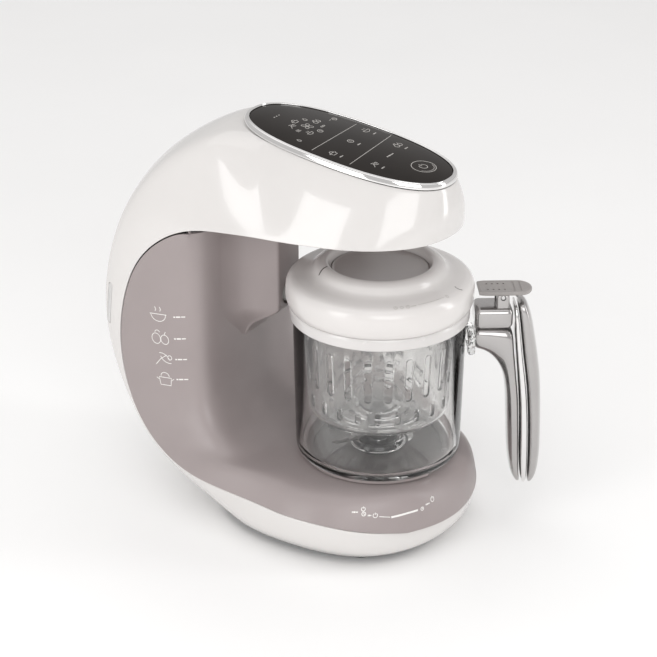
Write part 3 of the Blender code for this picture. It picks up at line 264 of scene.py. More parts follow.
def turned(name, profile, segments=128, place=None, steps=4):
    """A closed (radius, height, fillet) profile turned about Z; place moves points into the frame."""
    outline = rounded(profile, steps)
    verts = []
    rings = []
    for r, z in outline:
        if r < 0.001:
            rings.append([len(verts)] * segments)
            verts.append(Vector((0, 0, z)))
            continue
        rings.append(list(range(len(verts), len(verts) + segments)))
        angles = [2 * pi * k / segments for k in range(segments)]
        verts += [Vector((r * cos(angle), r * sin(angle), z)) for angle in angles]
    faces = []
    for i, ring in enumerate(rings):
        following = rings[(i + 1) % len(rings)]
        if ring[0] == ring[1] and following[0] == following[1]:
            continue
        for k in range(segments):
            n = (k + 1) % segments
            face = list(dict.fromkeys([ring[k], ring[n], following[n], following[k]]))
            if len(face) > 2:
                faces.append(face)
    if place:
        verts = [place @ v for v in verts]
    return object_of(name, mesh_of(name, verts, faces))


def quads(rows, columns):
    """The faces of a grid of points that are numbered row by row."""
    corners = [i * columns + j for i in range(rows - 1) for j in range(columns - 1)]
    return [(a, a + 1, a + columns + 1, a + columns) for a in corners]


def lofted(name, rings, closed=False, angle=38):
    """A skin through rings of equal length, capped at its ends or closed from the last ring to the first."""
    count = len(rings[0])
    verts = [point for ring in rings for point in ring]
    faces = []
    for i in range(len(rings) - (0 if closed else 1)):
        for j in range(count):
            a, b = i * count + j, i * count + (j + 1) % count
            shift = (((i + 1) % len(rings)) - i) * count
            faces.append((a, b, b + shift, a + shift))
    if not closed:
        faces.append(tuple(reversed(range(count))))
        faces.append(tuple(range(len(verts) - count, len(verts))))
    return object_of(name, mesh_of(name, verts, faces), angle)


def tilted(location, angle):
    """A frame at location, turned about X: pi / 2 points its Z axis to the front."""
    return Matrix.Translation(Vector(location)) @ Matrix.Rotation(angle, 4, "X")


def slab(name, size, location, radius, place=None, segments=4):
    """A block with rounded edges, centred on location."""
    bm = bmesh.new()
    bmesh.ops.create_cube(bm, size=1.0)
    bmesh.ops.scale(bm, vec=Vector(size), verts=bm.verts)
    bmesh.ops.bevel(bm, geom=bm.edges[:], offset=radius, segments=segments, profile=0.5,
                    affect="EDGES", clamp_overlap=True)
    shift = Matrix.Translation(Vector(location))
    verts = [(place or Matrix()) @ shift @ v.co for v in bm.verts]
    bm.verts.index_update()
    faces = [[v.index for v in face.verts] for face in bm.faces]
    bm.free()
    return object_of(name, mesh_of(name, verts, faces))


def rod(name, radius, length, location, axis="Z", sides=24, place=None):
    """A round cutter centred on location."""
    turn = {"Z": Matrix(), "Y": Matrix.Rotation(pi / 2, 4, "X"), "X": Matrix.Rotation(pi / 2, 4, "Y")}[axis]
    half = length / 2
    spot = (place or Matrix()) @ Matrix.Translation(Vector(location)) @ turn
    return turned(name, [(0, -half), (radius, -half), (radius, half), (0, half)], sides, spot)


def ease(values, t):
    """Catmull-Rom through a list of vectors at t from 0 to its last index."""
    i = min(int(t), len(values) - 2)
    f = t - i
    before, start, end, after = (values[max(0, min(len(values) - 1, i + k))] for k in (-1, 0, 1, 2))
    return 0.5 * ((2 * start) + (end - before) * f + (2 * before - 5 * start + 4 * end - after) * f * f
                  + (3 * start - before - 3 * end + after) * f * f * f)


# ---------------------------------------------------------------- curves of the housing

PANEL_CENTRE_Y, PANEL_HALF_LENGTH, PANEL_HALF_WIDTH = 23.0, 69.0, 32.5
TRIM_WIDTH, PANEL_POWER, PANEL_Z, PANEL_SLOPE, PANEL_THICKNESS = 3.6, 2.4, 257.5, 0.146, 3.0
HEAD_CENTRE_Y, HEAD_HALF_LENGTH, HEAD_HALF_WIDTH, HEAD_EDGE_Z, HEAD_POWER = 35.0, 88.0, 57.5, 213.0, 2.3
DECK_CENTRE_Y, DECK_HALF_LENGTH, DECK_HALF_WIDTH, DECK_TOP, DECK_POWER = 17.5, 81.0, 84.0, 53.0, 2.0
DECK_EDGE_Z, DECK_EDGE_RISE = 36.0, 0.18
BOTTOM_CENTRE_Y, BOTTOM_HALF_LENGTH, BOTTOM_HALF_WIDTH, BOTTOM_Z, BOTTOM_POWER = 30.0, 78.0, 68.0, 4.5, 2.5
COLUMN_FRONT, COLUMN_HALF_WIDTH = 97.0, 60.0
WALL = 2.4
NOSE_HALF_WIDTH = 45.0
HEAD_BULGE, SIDE_BULGE, HEEL_BULGE, HULL_SWELL, HULL_DROP, SPINE_BOW = 3.6, 2.2, 3.0, 1.09, 3.0, 0.30
SHOULDER_SEAM = (-58.3, 46, 211)
HEEL_SEAM = (-78.0, 92, 37)
SIDE_STATIONS = [
    ((-59.0, 60, 210.5), (-37.5, 92, 265)), ((-60.0, 80, 209), (-43.0, 112, 256)),
    ((-60.0, 98, 207), (-48.0, 128.5, 244.5)), ((-60.0, 114, 202), (-52.0, 143, 231)),
    ((-60.0, 128, 194), (-54.0, 155.5, 215)), ((-60.0, 141, 183), (-55.0, 165.5, 197)),
    ((-60.0, 152, 168), (-55.0, 173.5, 177)), ((-60.0, 160, 147), (-55.0, 179.5, 153)),
    ((-60.0, 165, 122), (-54.0, 181.5, 126)), ((-60.0, 164, 96), (-52.0, 178.5, 98)),
    ((-61.0, 157, 72), (-51.0, 168, 72)), ((-64.5, 143, 54), (-51.0, 151, 46)),
    ((-71.0, 121, 43), (-52.0, 129, 23)),
]
CROWN = [
    (0, 107, 267.5), (0, 124, 259.5), (0, 140.5, 249), (0, 155, 237), (0, 168, 222), (0, 178.5, 204),
    (0, 186, 183), (0, 190.5, 156), (0, 191, 127), (0, 187.5, 97), (0, 177.5, 68), (0, 160, 41), (0, 134, 18),
]
HEAD_ANGLES = [-90, -72, -54, -36, -18, 0]
TRIM_ANGLES = [-90, -74, -56, -36, -14, 12]
TRIM_REAR = [38, 62, 90]
BASE_ANGLES = [20, 4, -14, -32, -50, -70, -90]
BOTTOM_ANGLES = [24, 6, -13, -32, -50, -70, -90]
BOTTOM_REAR = [46, 66, 90]
DECK_X = [1, 0.89, 0.75, 0.55, 0.3, 0]
DECK_Y = [1, 0.8, 0.55, 0.3, 0.1, 0]
CORNER_X = [1, 0.98, 0.93, 0.79, 0.45, 0]
CORNER_Y = [1, 0.62, 0.28, 0.09, 0.02, 0]
DECK_FALL = [1, 0.2, 0, 0, 0, 0]
DECK_STATIONS = [(20, 21, 0.4), (4, 4, 0.1), (-14, -14, 0.0), (-32, -32, 0.0), (-50, -47, 0.0)]
FRONT_ANGLES = [-57, -63, -69, -76, -83, -90]
SEAM_INSET = 1.0
DECK_INSET = 0.6


def oval(half_x, half_y, power, angle):
    """A point on a superellipse; angle runs from the front (-90) by the left side (0) to the rear (90)."""
    c = cos(radians(angle))
    s = sin(radians(angle))
    x = -half_x * abs(c) ** (2 / power) * (1 if c > 0 else -1)
    y = half_y * abs(s) ** (2 / power) * (1 if s > 0 else -1)
    return x, y


def panel_height(y):
    return PANEL_Z + PANEL_SLOPE * y


def trim_point(angle):
    x, y = oval(PANEL_HALF_WIDTH + TRIM_WIDTH, PANEL_HALF_LENGTH + TRIM_WIDTH, PANEL_POWER, angle)
    y += PANEL_CENTRE_Y
    return Vector((x, y, panel_height(y) - PANEL_THICKNESS - 0.4))


def head_edge(angle):
    x, y = oval(HEAD_HALF_WIDTH, HEAD_HALF_LENGTH, HEAD_POWER, angle)
    y += HEAD_CENTRE_Y
    return Vector((x, y, HEAD_EDGE_Z - 0.05 * y))


def deck_edge(angle):
    x, y = oval(DECK_HALF_WIDTH, DECK_HALF_LENGTH, DECK_POWER, angle)
    y += DECK_CENTRE_Y
    return Vector((x, y, DECK_EDGE_Z + DECK_EDGE_RISE * min(y, 0.0)))


def bottom_edge(angle):
    x, y = oval(BOTTOM_HALF_WIDTH, BOTTOM_HALF_LENGTH, BOTTOM_POWER, angle)
    return Vector((x, y + BOTTOM_CENTRE_Y, BOTTOM_Z))


def bulged(seam, edge, bulge):
    """A point between seam and edge, pushed outwards from the housing's middle."""
    middle = (seam + edge) / 2
    out = Vector((-1.0, 0.0, 0.0))
    if abs(middle.x) < NOSE_HALF_WIDTH:
        out = Vector((middle.x, middle.y - HEAD_CENTRE_Y, 0)).normalized()
    return middle + out * bulge


def band_rows():
    """Rows of seam, middle and edge points from the head's nose to the base's nose."""
    rows = []
    for head_angle, trim_angle in zip(HEAD_ANGLES, TRIM_ANGLES):
        seam = head_edge(head_angle)
        edge = trim_point(trim_angle)
        rows.append((seam, bulged(seam, edge, HEAD_BULGE), edge))
    stations = [(Vector(SHOULDER_SEAM), trim_point(TRIM_REAR[0]), SIDE_BULGE)]
    stations += [(Vector(seam), Vector(edge), SIDE_BULGE) for seam, edge in SIDE_STATIONS]
    stations.append((Vector(HEEL_SEAM), bottom_edge(BOTTOM_REAR[0]), HEEL_BULGE))
    for seam, edge, bulge in stations:
        rows.append((seam, bulged(seam, edge, bulge), edge))
    for deck_angle, bottom_angle in zip(BASE_ANGLES, BOTTOM_ANGLES):
        seam = deck_edge(deck_angle)
        edge = bottom_edge(bottom_angle)
        middle = seam.lerp(edge, 0.5)
        middle.x *= HULL_SWELL
        middle.y = (middle.y - DECK_CENTRE_Y) * HULL_SWELL + DECK_CENTRE_Y
        middle.z -= HULL_DROP
        rows.append((seam, middle, edge))
    return rows


def spine_rows(edges):
    """Rows of crease, quarter and crown points over the back."""
    rows = [[edges[0], trim_point(TRIM_REAR[1]), trim_point(TRIM_REAR[2])]]
    for edge, crown in zip(edges[1:-1], CROWN):
        crown = Vector(crown)
        bow = crown - edge
        bow.x = 0
        rows.append([edge, edge.lerp(crown, 0.5) + bow * SPINE_BOW, crown])
    rows.append([edges[-1], bottom_edge(BOTTOM_REAR[1]), bottom_edge(BOTTOM_REAR[2])])
    return rows


def shell_cage():
    """The white shell's left half, as vertices and quads, with the crease lines between band and spine."""
    band = band_rows()
    verts = [point for row in band for point in row]
    faces = quads(len(band), 3)
    first = len(HEAD_ANGLES)
    edges = [row[2] for row in band[first:first + len(SIDE_STATIONS) + 2]]
    numbers = []
    for k, row in enumerate(spine_rows(edges)):
        numbers.append([(first + k) * 3 + 2, len(verts), len(verts) + 1])
        verts += row[1:]
    for upper, lower in zip(numbers, numbers[1:]):
        for j in range(2):
            faces.append((upper[j], upper[j + 1], lower[j + 1], lower[j]))
    creases = [(upper[0], lower[0]) for upper, lower in zip(numbers, numbers[1:])]
    return verts, faces, creases


def column_row(seam, front_y, height, spread=0.0):
    """A row from the rear seam along the side, round the front corner to the middle."""
    side = -COLUMN_HALF_WIDTH - spread
    return [
        seam, Vector((side, (seam.y + front_y + 10) / 2, (seam.z + height) / 2)),
        Vector((side + 1, front_y + 9, height)), Vector((side + 10, front_y + 1, height)),
        Vector((side / 2, front_y, height)), Vector((0, front_y - 0.5, height)),
    ]


def deck_row(seam, middle_y, bend):
    """A row from the deck's edge across the flat top; bend 1 follows the column's corner."""
    row = []
    for k in range(len(DECK_X)):
        x = seam.x * (DECK_X[k] * (1 - bend) + CORNER_X[k] * bend)
        y = middle_y + (seam.y - middle_y) * (DECK_Y[k] * (1 - bend) + CORNER_Y[k] * bend)
        row.append(Vector((x, y, DECK_TOP - (DECK_TOP - seam.z) * DECK_FALL[k])))
    return row


def front_rows():
    """The last two rows: the deck's front slope and its edge round the nose."""
    edge = [deck_edge(angle) for angle in FRONT_ANGLES]
    slope = []
    for k, point in enumerate(edge):
        inward = Vector((-point.x, DECK_CENTRE_Y - point.y, 0)).normalized()
        rise = (DECK_TOP - point.z) * 0.75 * min(1.0, 0.35 + 0.4 * k)
        slope.append(point + inward * (1.0 + 0.9 * min(k, 3)) + Vector((0, 0, rise)))
    slope[0] = deck_edge((BASE_ANGLES[4] + FRONT_ANGLES[0]) / 2) + Vector((0, 0, 0.3))
    return [slope, edge]


def drawn_in(row, distance):
    """Moves a row's outer end inwards, to leave a gap to the shell."""
    row[0] = row[0] + (row[1] - row[0]).normalized() * distance
    return row


def liner_cage():
    """The grey inner surface's left half: column and deck."""
    seams = [Vector(seam) for seam, _ in SIDE_STATIONS]
    seams[2] = Vector((-COLUMN_HALF_WIDTH, 103, 202.5))
    fronts = [95.5] + [COLUMN_FRONT] * 6 + [COLUMN_FRONT - 0.5, COLUMN_FRONT - 5, COLUMN_FRONT - 19]
    heights = [202.5, 195.5, 186, 172, 156, 137, 116, 94, 74, 59.5]
    spreads = [0.0] * 8 + [1.5, 6.0]
    rows = []
    for seam, front, height, spread in zip(seams[2:12], fronts, heights, spreads):
        rows.append(drawn_in(column_row(seam, front, height, spread), SEAM_INSET))
    deck = [(seams[12], 57, 1.0), (Vector(HEEL_SEAM), 38, 0.75)]
    deck += [(deck_edge(angle), middle_y, bend) for angle, middle_y, bend in DECK_STATIONS]
    for seam, middle_y, bend in deck:
        rows.append(drawn_in(deck_row(seam, middle_y, bend), DECK_INSET))
    slope, edge = front_rows()
    edge = [point + (up - point).normalized() * DECK_INSET for point, up in zip(edge, slope)]
    rows += [slope, edge]
    faces = [(a, d, c, b) for a, b, c, d in quads(len(rows), len(DECK_X))]
    return [point for row in rows for point in row], faces, []


def soft_form(name, cage, levels, thickness=WALL, crease=0.0):
    """A half cage mirrored, subdivided finely and given a wall with rounded rims."""
    verts, faces, lines = cage
    mesh = bpy.data.meshes.new(name)
    mesh.from_pydata([world(v) for v in verts], [], faces)
    if crease:
        marked = {frozenset(line) for line in lines}
        values = mesh.attributes.new("crease_edge", "FLOAT", "EDGE")
        for edge in mesh.edges:
            values.data[edge.index].value = crease if frozenset(edge.vertices) in marked else 0.0
    obj = object_of(name, mesh)
    mirror = obj.modifiers.new("symmetry", "MIRROR")
    mirror.use_clip = True
    mirror.merge_threshold = 0.0001
    subdivide = obj.modifiers.new("soft_form", "SUBSURF")
    subdivide.boundary_smooth = "PRESERVE_CORNERS"
    subdivide.levels = levels
    subdivide.render_levels = levels
    wall = obj.modifiers.new("wall", "SOLIDIFY")
    wall.thickness = thickness * MM
    wall.offset = -1
    wall.use_even_offset = True
    applied(obj)
    return edged(obj, 0.55, 3, 55)


# ---------------------------------------------------------------- housing

# Size, middle and tilt.
FLAP = (48.0, 40.0, 30.0), (0.0, 160.0, 229.0), radians(-47)
WINDOW = (16.0, 3.6, 30.0), (-58.0, 173.5, 138.0), radians(8)
INLET_PLACE, INLET_RADIUS = (36.0, 166.0, 62.0), 7.0
SPOUT_Z, SPOUT_RADIUS, PLUNGER_Y, PLUNGER_RADIUS, WELL_RADIUS = 149.4, 9.0, 37.0, 3.0, 14.6
GAP = 0.3


def opening(name, size, location, tilt, grow, radius):
    """A rounded block cutter, grown all round by the given gap."""
    return slab(name, [side + 2 * grow for side in size], (0, 0, 0), radius, tilted(location, tilt))


def copy_of(obj, name):
    made = bpy.data.objects.new(name, obj.data.copy())
    bpy.context.scene.collection.objects.link(made)
    return made


def make_housing():
    """The white shell with its flap and level window, and the grey liner."""
    shell = soft_form("shell", shell_cage(), 3, crease=0.35)
    flap = cut(copy_of(shell, "filler_flap"), opening("flap_keep", *FLAP, 0, 5.0), operation="INTERSECT")
    dress(edged(flap, 0.4), "tank_flap")
    window = opening("window_keep", *WINDOW, 0, 1.7)
    window = cut(copy_of(shell, "water_window"), window, operation="INTERSECT")
    dress(edged(window, 0.25), "level_window", WINDOW_SMOKE)
    cut(shell, opening("flap_hole", *FLAP, 0.45, 5.4), opening("window_hole", *WINDOW, 0.3, 1.9),
        rod("inlet_hole", INLET_RADIUS + GAP, 30, INLET_PLACE, "Y", 48))
    dress(shell, "outer_shell")
    liner = soft_form("inner_liner", liner_cage(), 3)
    cut(liner, rod("well_hole", WELL_RADIUS, 20, (0, 0, DECK_TOP), sides=96),
        rod("spout_hole", SPOUT_RADIUS + GAP, 20, (0, COLUMN_FRONT, SPOUT_Z), "Y", 64),
        rod("plunger_hole", PLUNGER_RADIUS + GAP, 20, (0, PLUNGER_Y, DECK_TOP), sides=32))
    return dress(liner, "liner")


def outline_frame(half_x, half_y, power, count, tilt):
    """Points of a superellipse in plan with their outward directions, as (x, y, nx, ny)."""
    stretch = 1 / cos(tilt)
    points = [oval(half_x, half_y * stretch, power, -90 + 360 * i / count) for i in range(count)]
    result = []
    for i in range(count):
        x, y = points[i]
        before, after = points[i - 1], points[(i + 1) % count]
        out = Vector((after[1] - before[1], before[0] - after[0])).normalized()
        if out.dot(Vector((x, y))) < 0:
            out = -out
        result.append((x, y, out.x, out.y))
    return result


def panel_place(u, v, h):
    """A point u across, v along and h above the control panel's face."""
    tilt = atan(PANEL_SLOPE)
    rise = panel_height(PANEL_CENTRE_Y)
    return Vector((u, PANEL_CENTRE_Y + v * cos(tilt) - h * sin(tilt), rise + v * sin(tilt) + h * cos(tilt)))


def make_panel():
    """The chrome trim, and the black glass with its rounded edge."""
    around = outline_frame(PANEL_HALF_WIDTH, PANEL_HALF_LENGTH, PANEL_POWER, 160, atan(PANEL_SLOPE))
    profile = rounded([
        (0.3, -2.4), (0.3, 0.55, 0.3), (0.95, 0.6, 0.3), (1.15, 0.2, 0.15), (1.5, 0.2, 0.15),
        (1.75, 0.6, 0.4), (2.4, 0.45, 0.5), (3.15, -0.9, 1.2), (3.42, -2.9, 0.4), (2.6, -2.9),
    ])
    rings = []
    for x, y, nx, ny in around:
        rings.append([panel_place(x + nx * d, y + ny * d, h) for d, h in profile])
    dress(lofted("trim_ring", rings, closed=True), "panel_trim")
    rings = []
    for d, h in ((-0.4, -3.0), (0, -2.7), (0, -0.45), (-0.08, -0.2), (-0.25, -0.06), (-0.5, 0.0)):
        rings.append([panel_place(x + nx * d, y + ny * d, h) for x, y, nx, ny in around])
    dress(lofted("glass_panel", rings), "touch_panel")


def ribbon(verts, faces, stroke, width, place):
    """Adds a thin raised line along a run of points; a run that ends where it starts is closed."""
    points = [Vector(point) for point in stroke]
    loop = (points[0] - points[-1]).length < 0.001
    if loop:
        points.pop()
    count = len(points)
    first = len(verts)
    for i, point in enumerate(points):
        before = points[i - 1] if loop or i else point
        after = points[(i + 1) % count] if loop or i < count - 1 else point
        along = (after - before).normalized()
        side = Vector((-along.y, along.x)) * width / 2
        for sign, lift in ((1, 0.07), (-1, 0.07), (-1, -0.12), (1, -0.12)):
            spot, normal = place(*(point + side * sign))
            verts.append(spot + normal * lift)
    for i in range(count if loop else count - 1):
        a, b = first + i * 4, first + (i + 1) % count * 4
        for j in range(4):
            n = (j + 1) % 4
            faces.append((a + j, b + j, b + n, a + n))
    if not loop:
        faces.append((first, first + 1, first + 2, first + 3))
        last = first + (count - 1) * 4
        faces.append((last + 3, last + 2, last + 1, last))


def printed(name, strokes, place, node, material):
    """Marks of (points, width) strokes laid on a surface by place(u, v), riding with node's body."""
    verts, faces = [], []
    for stroke, width in strokes:
        ribbon(verts, faces, stroke, width, place)
    obj = object_of(name, mesh_of(name, verts, faces), 30)
    return dress(obj, node, material, replaces=False)


def arc(cx, cy, rx, ry, start=0, end=360, steps=24):
    return [(cx + rx * cos(radians(start + (end - start) * i / steps)),
             cy + ry * sin(radians(start + (end - start) * i / steps))) for i in range(steps + 1)]


def line(*points):
    """A run through corner points with a point every third of a side, so that it follows a curved face."""
    run = [points[0]]
    for start, end in zip(points, points[1:]):
        for k in range(1, 4):
            run.append((start[0] + (end[0] - start[0]) * k / 3, start[1] + (end[1] - start[1]) * k / 3))
    return run


def moved(strokes, u, v, scale=1.0, turn=0.0):
    c, s = cos(radians(turn)) * scale, sin(radians(turn)) * scale
    return [([(u + x * c - y * s, v + x * s + y * c) for x, y in run], width) for run, width in strokes]


def drawn(*runs, pen=0.42):
    return [(run, pen) for run in runs]


# Small pictures within about 5 mm of their own middle: generic pots, fruit, drops and leaves.
PICTURES = {
    "bowl": drawn(arc(0, 0.6, 4.6, 4.0, 180, 360, 16), line((-5.2, 0.6), (5.2, 0.6)),
                  line((-1.6, 2.2), (-1.0, 3.4), (-1.6, 4.6)), line((1.4, 2.2), (2.0, 3.4), (1.4, 4.6))),
    "fruit": drawn(arc(-2.4, -0.6, 2.7, 2.9), arc(2.9, -0.8, 2.4, 2.6), arc(-1.2, 2.6, 1.6, 1.5, 20, 170, 8),
                   line((2.9, 1.8), (3.9, 3.6))),
    "leaf": drawn(arc(-1.0, -2.6, 5.4, 5.6, 20, 100, 12), arc(4.0, 3.0, 5.6, 5.4, 200, 280, 12),
                  line((-4.8, -3.8), (-1.4, -0.4), (2.6, 2.0)), arc(4.4, 0.8, 1.2, 1.2)),
    "pot": drawn(line((-3.8, 0.8), (-3.2, -3.4), (3.2, -3.4), (3.8, 0.8), (-3.8, 0.8)),
                 arc(0, 1.4, 2.6, 2.2, 0, 180, 10), line((-5.4, 0.4), (-4.0, -0.4)),
                 line((5.4, 0.4), (4.0, -0.4))),
    "drop": drawn(line((0, 3.4), (-1.9, 0.2)) + arc(0, -0.8, 2.1, 2.1, 152, 388, 16)
                  + line((1.9, 0.2), (0, 3.4))),
    "timer": drawn(arc(0, 0, 3.2, 3.2), line((0, 2.0), (0, 0), (1.6, -1.0))),
    "blade": drawn(arc(-1.7, 0, 1.9, 1.1, 10, 330, 12), arc(1.7, 0, 1.9, 1.1, 190, 510, 12)),
    "steam": drawn(*(line((x, -2.4), (x_bent, -0.8), (x, 0.8), (x_bent, 2.4))
                     for x, x_bent in ((-2.0, -1.2), (0.2, 1.0), (2.4, 3.2)))),
    "switch": drawn(arc(0, 0, 2.7, 2.7, 120, 420, 20), line((0, 0.8), (0, 3.4))),
    "dash": drawn(line((-1.8, 0), (1.8, 0))),
    "dots": drawn(*(arc(x, 0, 0.35, 0.35, 0, 360, 8) for x in (-2.6, 0, 2.6)), pen=0.4),
    "caption": drawn(line((-4.2, 0), (-2.9, 0)), line((-2.3, 0), (0.8, 0)), pen=0.9)
    + drawn(line((1.4, 0), (4.2, 0)), pen=0.7),
}


def stamped(*rows):
    """The strokes of pictures, from rows of (picture, u, v, scale, turn in degrees)."""
    return [stroke for picture, *where in rows for stroke in moved(PICTURES[picture], *where)]


def panel_marks():
    """Two dividing lines, a ring of small pictures behind them and keys in front."""
    def place(u, v):
        return panel_place(u, v, 0.0), Vector((0, -sin(atan(PANEL_SLOPE)), cos(atan(PANEL_SLOPE))))

    strokes = drawn(line((-27.5, 10.3), (28.0, 12.2)), line((-27.5, -17.0), (29.5, -12.6)), pen=0.38)
    ring = ["fruit", "drop", "pot", "leaf", "steam", "bowl", "timer", "blade"]
    for k, picture in enumerate(ring):
        angle = 2 * pi * k / len(ring)
        strokes += stamped((picture, 1.0 + 10.6 * cos(angle), 32.0 + 9.6 * sin(angle), 0.56))
    strokes += stamped(("blade", 1.0, 32.0, 1.1, 30), ("blade", 1.0, 32.0, 1.1, 120), ("dots", -0.8, 54.0),
                       ("timer", 24.0, 26.3, 0.5), ("dash", 20.5, 27.3, 0.5), ("drop", -21.4, 23.6, 0.5))
    for picture, u, v in (("bowl", 24.2, 1.0), ("timer", 2.4, -0.8), ("pot", -21.6, -2.8),
                          ("fruit", 20.1, -24.6), ("leaf", -16.2, -29.3)):
        strokes += stamped((picture, u, v + 1.6, 0.62), ("caption", u, v - 4.6, 0.42))
    strokes += stamped(("caption", 3.0, -27.6, 0.9))
    strokes += drawn(arc(4.4, -50.7, 8.2, 7.6, 0, 360, 48))
    strokes += drawn(arc(4.4, -50.7, 6.9, 6.3, 200, 340, 20), pen=0.3)
    strokes += stamped(("switch", 4.4, -50.4))
    printed("panel_print", strokes, place, "touch_panel", PRINT_PALE)


SURFACES = {}
APRON_RADIUS = 66.0


def onto(target, origin, direction):
    """The point and normal where a ray meets a piece, in millimetres on the jug's axis."""
    tree = SURFACES.setdefault(target.name, BVHTree.FromObject(target, bpy.context.evaluated_depsgraph_get()))
    spot, normal, _, _ = tree.ray_cast(world(origin), Vector(direction))
    return (spot - AXIS) / MM, normal


def liner_marks(liner):
    """Four pictures with captions on the column's left side, and a turning scale on the deck's apron."""
    def side(y, z):
        return onto(liner, (-90, -y, z), (1, 0, 0))

    strokes = []
    rows = (("bowl", 131.7, 140.1, 115.4, 142.3), ("fruit", 131.1, 124.0, 115.6, 126.6),
            ("leaf", 129.4, 109.4, 115.3, 111.7), ("pot", 127.9, 94.7, 114.8, 97.3))
    for picture, y, z, caption_y, caption_z in rows:
        strokes += stamped((picture, -y, z, 1.28, 6), ("caption", -caption_y, caption_z, 1.05, 12))
    printed("side_print", strokes, side, "liner", PRINT_WHITE)

    def apron(u, v):
        angle = u / APRON_RADIUS
        return onto(liner, (120 * cos(angle), 120 * sin(angle), v), (-cos(angle), -sin(angle), 0))

    def at(angle):
        return radians(angle) * APRON_RADIUS

    scale = drawn(line((at(-148.5), 40.5), (at(-142.6), 39.5)), pen=0.45)
    bar = ((-142.0, 39.3), (-136.7, 39.8), (-132.3, 40.2), (-126.0, 40.3))
    scale += drawn(line(*((at(angle), height) for angle, height in bar)), pen=1.2)
    for angle, height, picture, size in (
            (-161.2, 43.7, "caption", 0.42), (-157.0, 45.4, "switch", 0.42), (-156.6, 42.6, "timer", 0.36),
            (-153.6, 41.6, "caption", 0.26), (-150.6, 41.4, "switch", 0.5), (-123.0, 40.2, "timer", 0.34),
            (-118.8, 41.8, "caption", 0.42), (-114.6, 43.2, "switch", 0.55)):
        scale += stamped((picture, at(angle), height, size))
    printed("deck_print", scale, apron, "liner", PRINT_WHITE)


# ---------------------------------------------------------------- jug

JUG_BOTTOM, JUG_RADIUS, JUG_RIM_RADIUS, JUG_WALL = 56.0, 54.0, 55.5, 2.2
COLLAR_BOTTOM, COLLAR_TOP, LID_RADIUS, LID_TOP, DISC_RADIUS = 150.5, 158.5, 60.0, 188.0, 31.0
MARK_RADIUS = 54.0
RECESS_RADIUS, RECESS_TOP, BUSH_RADIUS, DRIVEN_TOP = 15.0, 59.2, 7.5, 58.6
BASKET_BOTTOM, BASKET_RADIUS = 84.0, 47.5


def make_jug():
    """The clear jug with a recess for the coupling, its collar and the bush round the blades' shaft."""
    floor = JUG_BOTTOM + JUG_WALL
    boss = RECESS_TOP + JUG_WALL
    jug = turned("clear_jug", [
        (JUG_RIM_RADIUS, COLLAR_BOTTOM - GAP, 0.5), (JUG_RADIUS, JUG_BOTTOM + 3, 3.0),
        (JUG_RADIUS - 2.4, JUG_BOTTOM, 1.6), (RECESS_RADIUS, JUG_BOTTOM, 0.6),
        (RECESS_RADIUS, RECESS_TOP, 0.5), (BUSH_RADIUS + GAP, RECESS_TOP), (BUSH_RADIUS + GAP, boss, 0.4),
        (RECESS_RADIUS + JUG_WALL, boss, 0.8), (RECESS_RADIUS + JUG_WALL + 2, floor, 1.2),
        (JUG_RADIUS - 6.5, floor, 2.5), (JUG_RADIUS - JUG_WALL - 0.3, JUG_BOTTOM + 6, 3.0),
        (JUG_RIM_RADIUS - JUG_WALL, COLLAR_BOTTOM - GAP, 0.5),
    ], 160)
    dress(jug, "jug_body")
    collar = turned("jug_band", [
        (57.2, COLLAR_TOP, 0.5), (57.7, COLLAR_TOP - 1.8, 0.6), (57.7, COLLAR_BOTTOM + 0.9, 0.6),
        (57.0, COLLAR_BOTTOM, 0.4), (53.2, COLLAR_BOTTOM, 0.4), (53.2, COLLAR_BOTTOM + 3, 0.5),
        (54.6, COLLAR_TOP, 0.3),
    ], 160)
    dress(collar, "jug_collar", FROSTED)
    bush = turned("blade_seal", [
        (BUSH_RADIUS, boss + 3, 0.8), (BUSH_RADIUS, RECESS_TOP - 0.1, 0.3), (3.3, RECESS_TOP - 0.1),
        (3.3, boss + 3, 0.4),
    ], 64)
    dress(bush, "blade_bush")


def capsule(name, width, tall, angle, height):
    """A cutter for an upright slot with round ends, through the basket's wall at an angle round the axis."""
    outline = []
    for i in range(17):
        turn = pi * i / 16
        outline.append((width / 2 * cos(turn), tall / 2 - width / 2 + width / 2 * sin(turn)))
    outline += [(-y, -z) for y, z in outline]
    spin = Matrix.Rotation(angle, 4, "Z")
    rings = [[spin @ Vector((r, y, z + height)) for y, z in outline] for r in (40.0, 60.0)]
    return lofted(name, rings)


def make_basket():
    """A clear steaming basket: long slots under its rim, short ones near its foot, arcs in its floor."""
    low, high, wall, rim = BASKET_BOTTOM, COLLAR_BOTTOM - 1, 1.6, 51.4
    basket = turned("slotted_basket", [
        (rim, high, 0.5), (BASKET_RADIUS, low + 5, 4.0), (BASKET_RADIUS - 4.5, low, 2.5), (0, low),
        (0, low + wall), (BASKET_RADIUS - 5, low + wall, 2.5), (BASKET_RADIUS - wall, low + 5.5, 4.0),
        (rim - wall, high, 0.5),
    ], 144)
    cutters = []
    for i in range(24):
        angle = 2 * pi * (i + 0.5) / 24
        cutters.append(capsule(f"slot_{i}", 4.6, 30.0, angle, high - 24))
        cutters.append(capsule(f"foot_slot_{i}", 3.6, 9.0, angle + pi / 24, low + 15))
    for ring, (inner, outer, count) in enumerate(((14, 17, 5), (22, 25, 7), (30, 33, 9), (37.5, 40, 12))):
        for i in range(count):
            start, span = 2 * pi * i / count, 1.45 * pi / count
            cutters.append(arc_slot(f"arc_{ring}_{i}", inner, outer, start, span, low))
    joined = cutters[0]
    for cutter in cutters[1:]:
        merge(joined, cutter)
    cut(basket, joined)
    dress(basket, "steam_basket", BASKET_CLEAR)


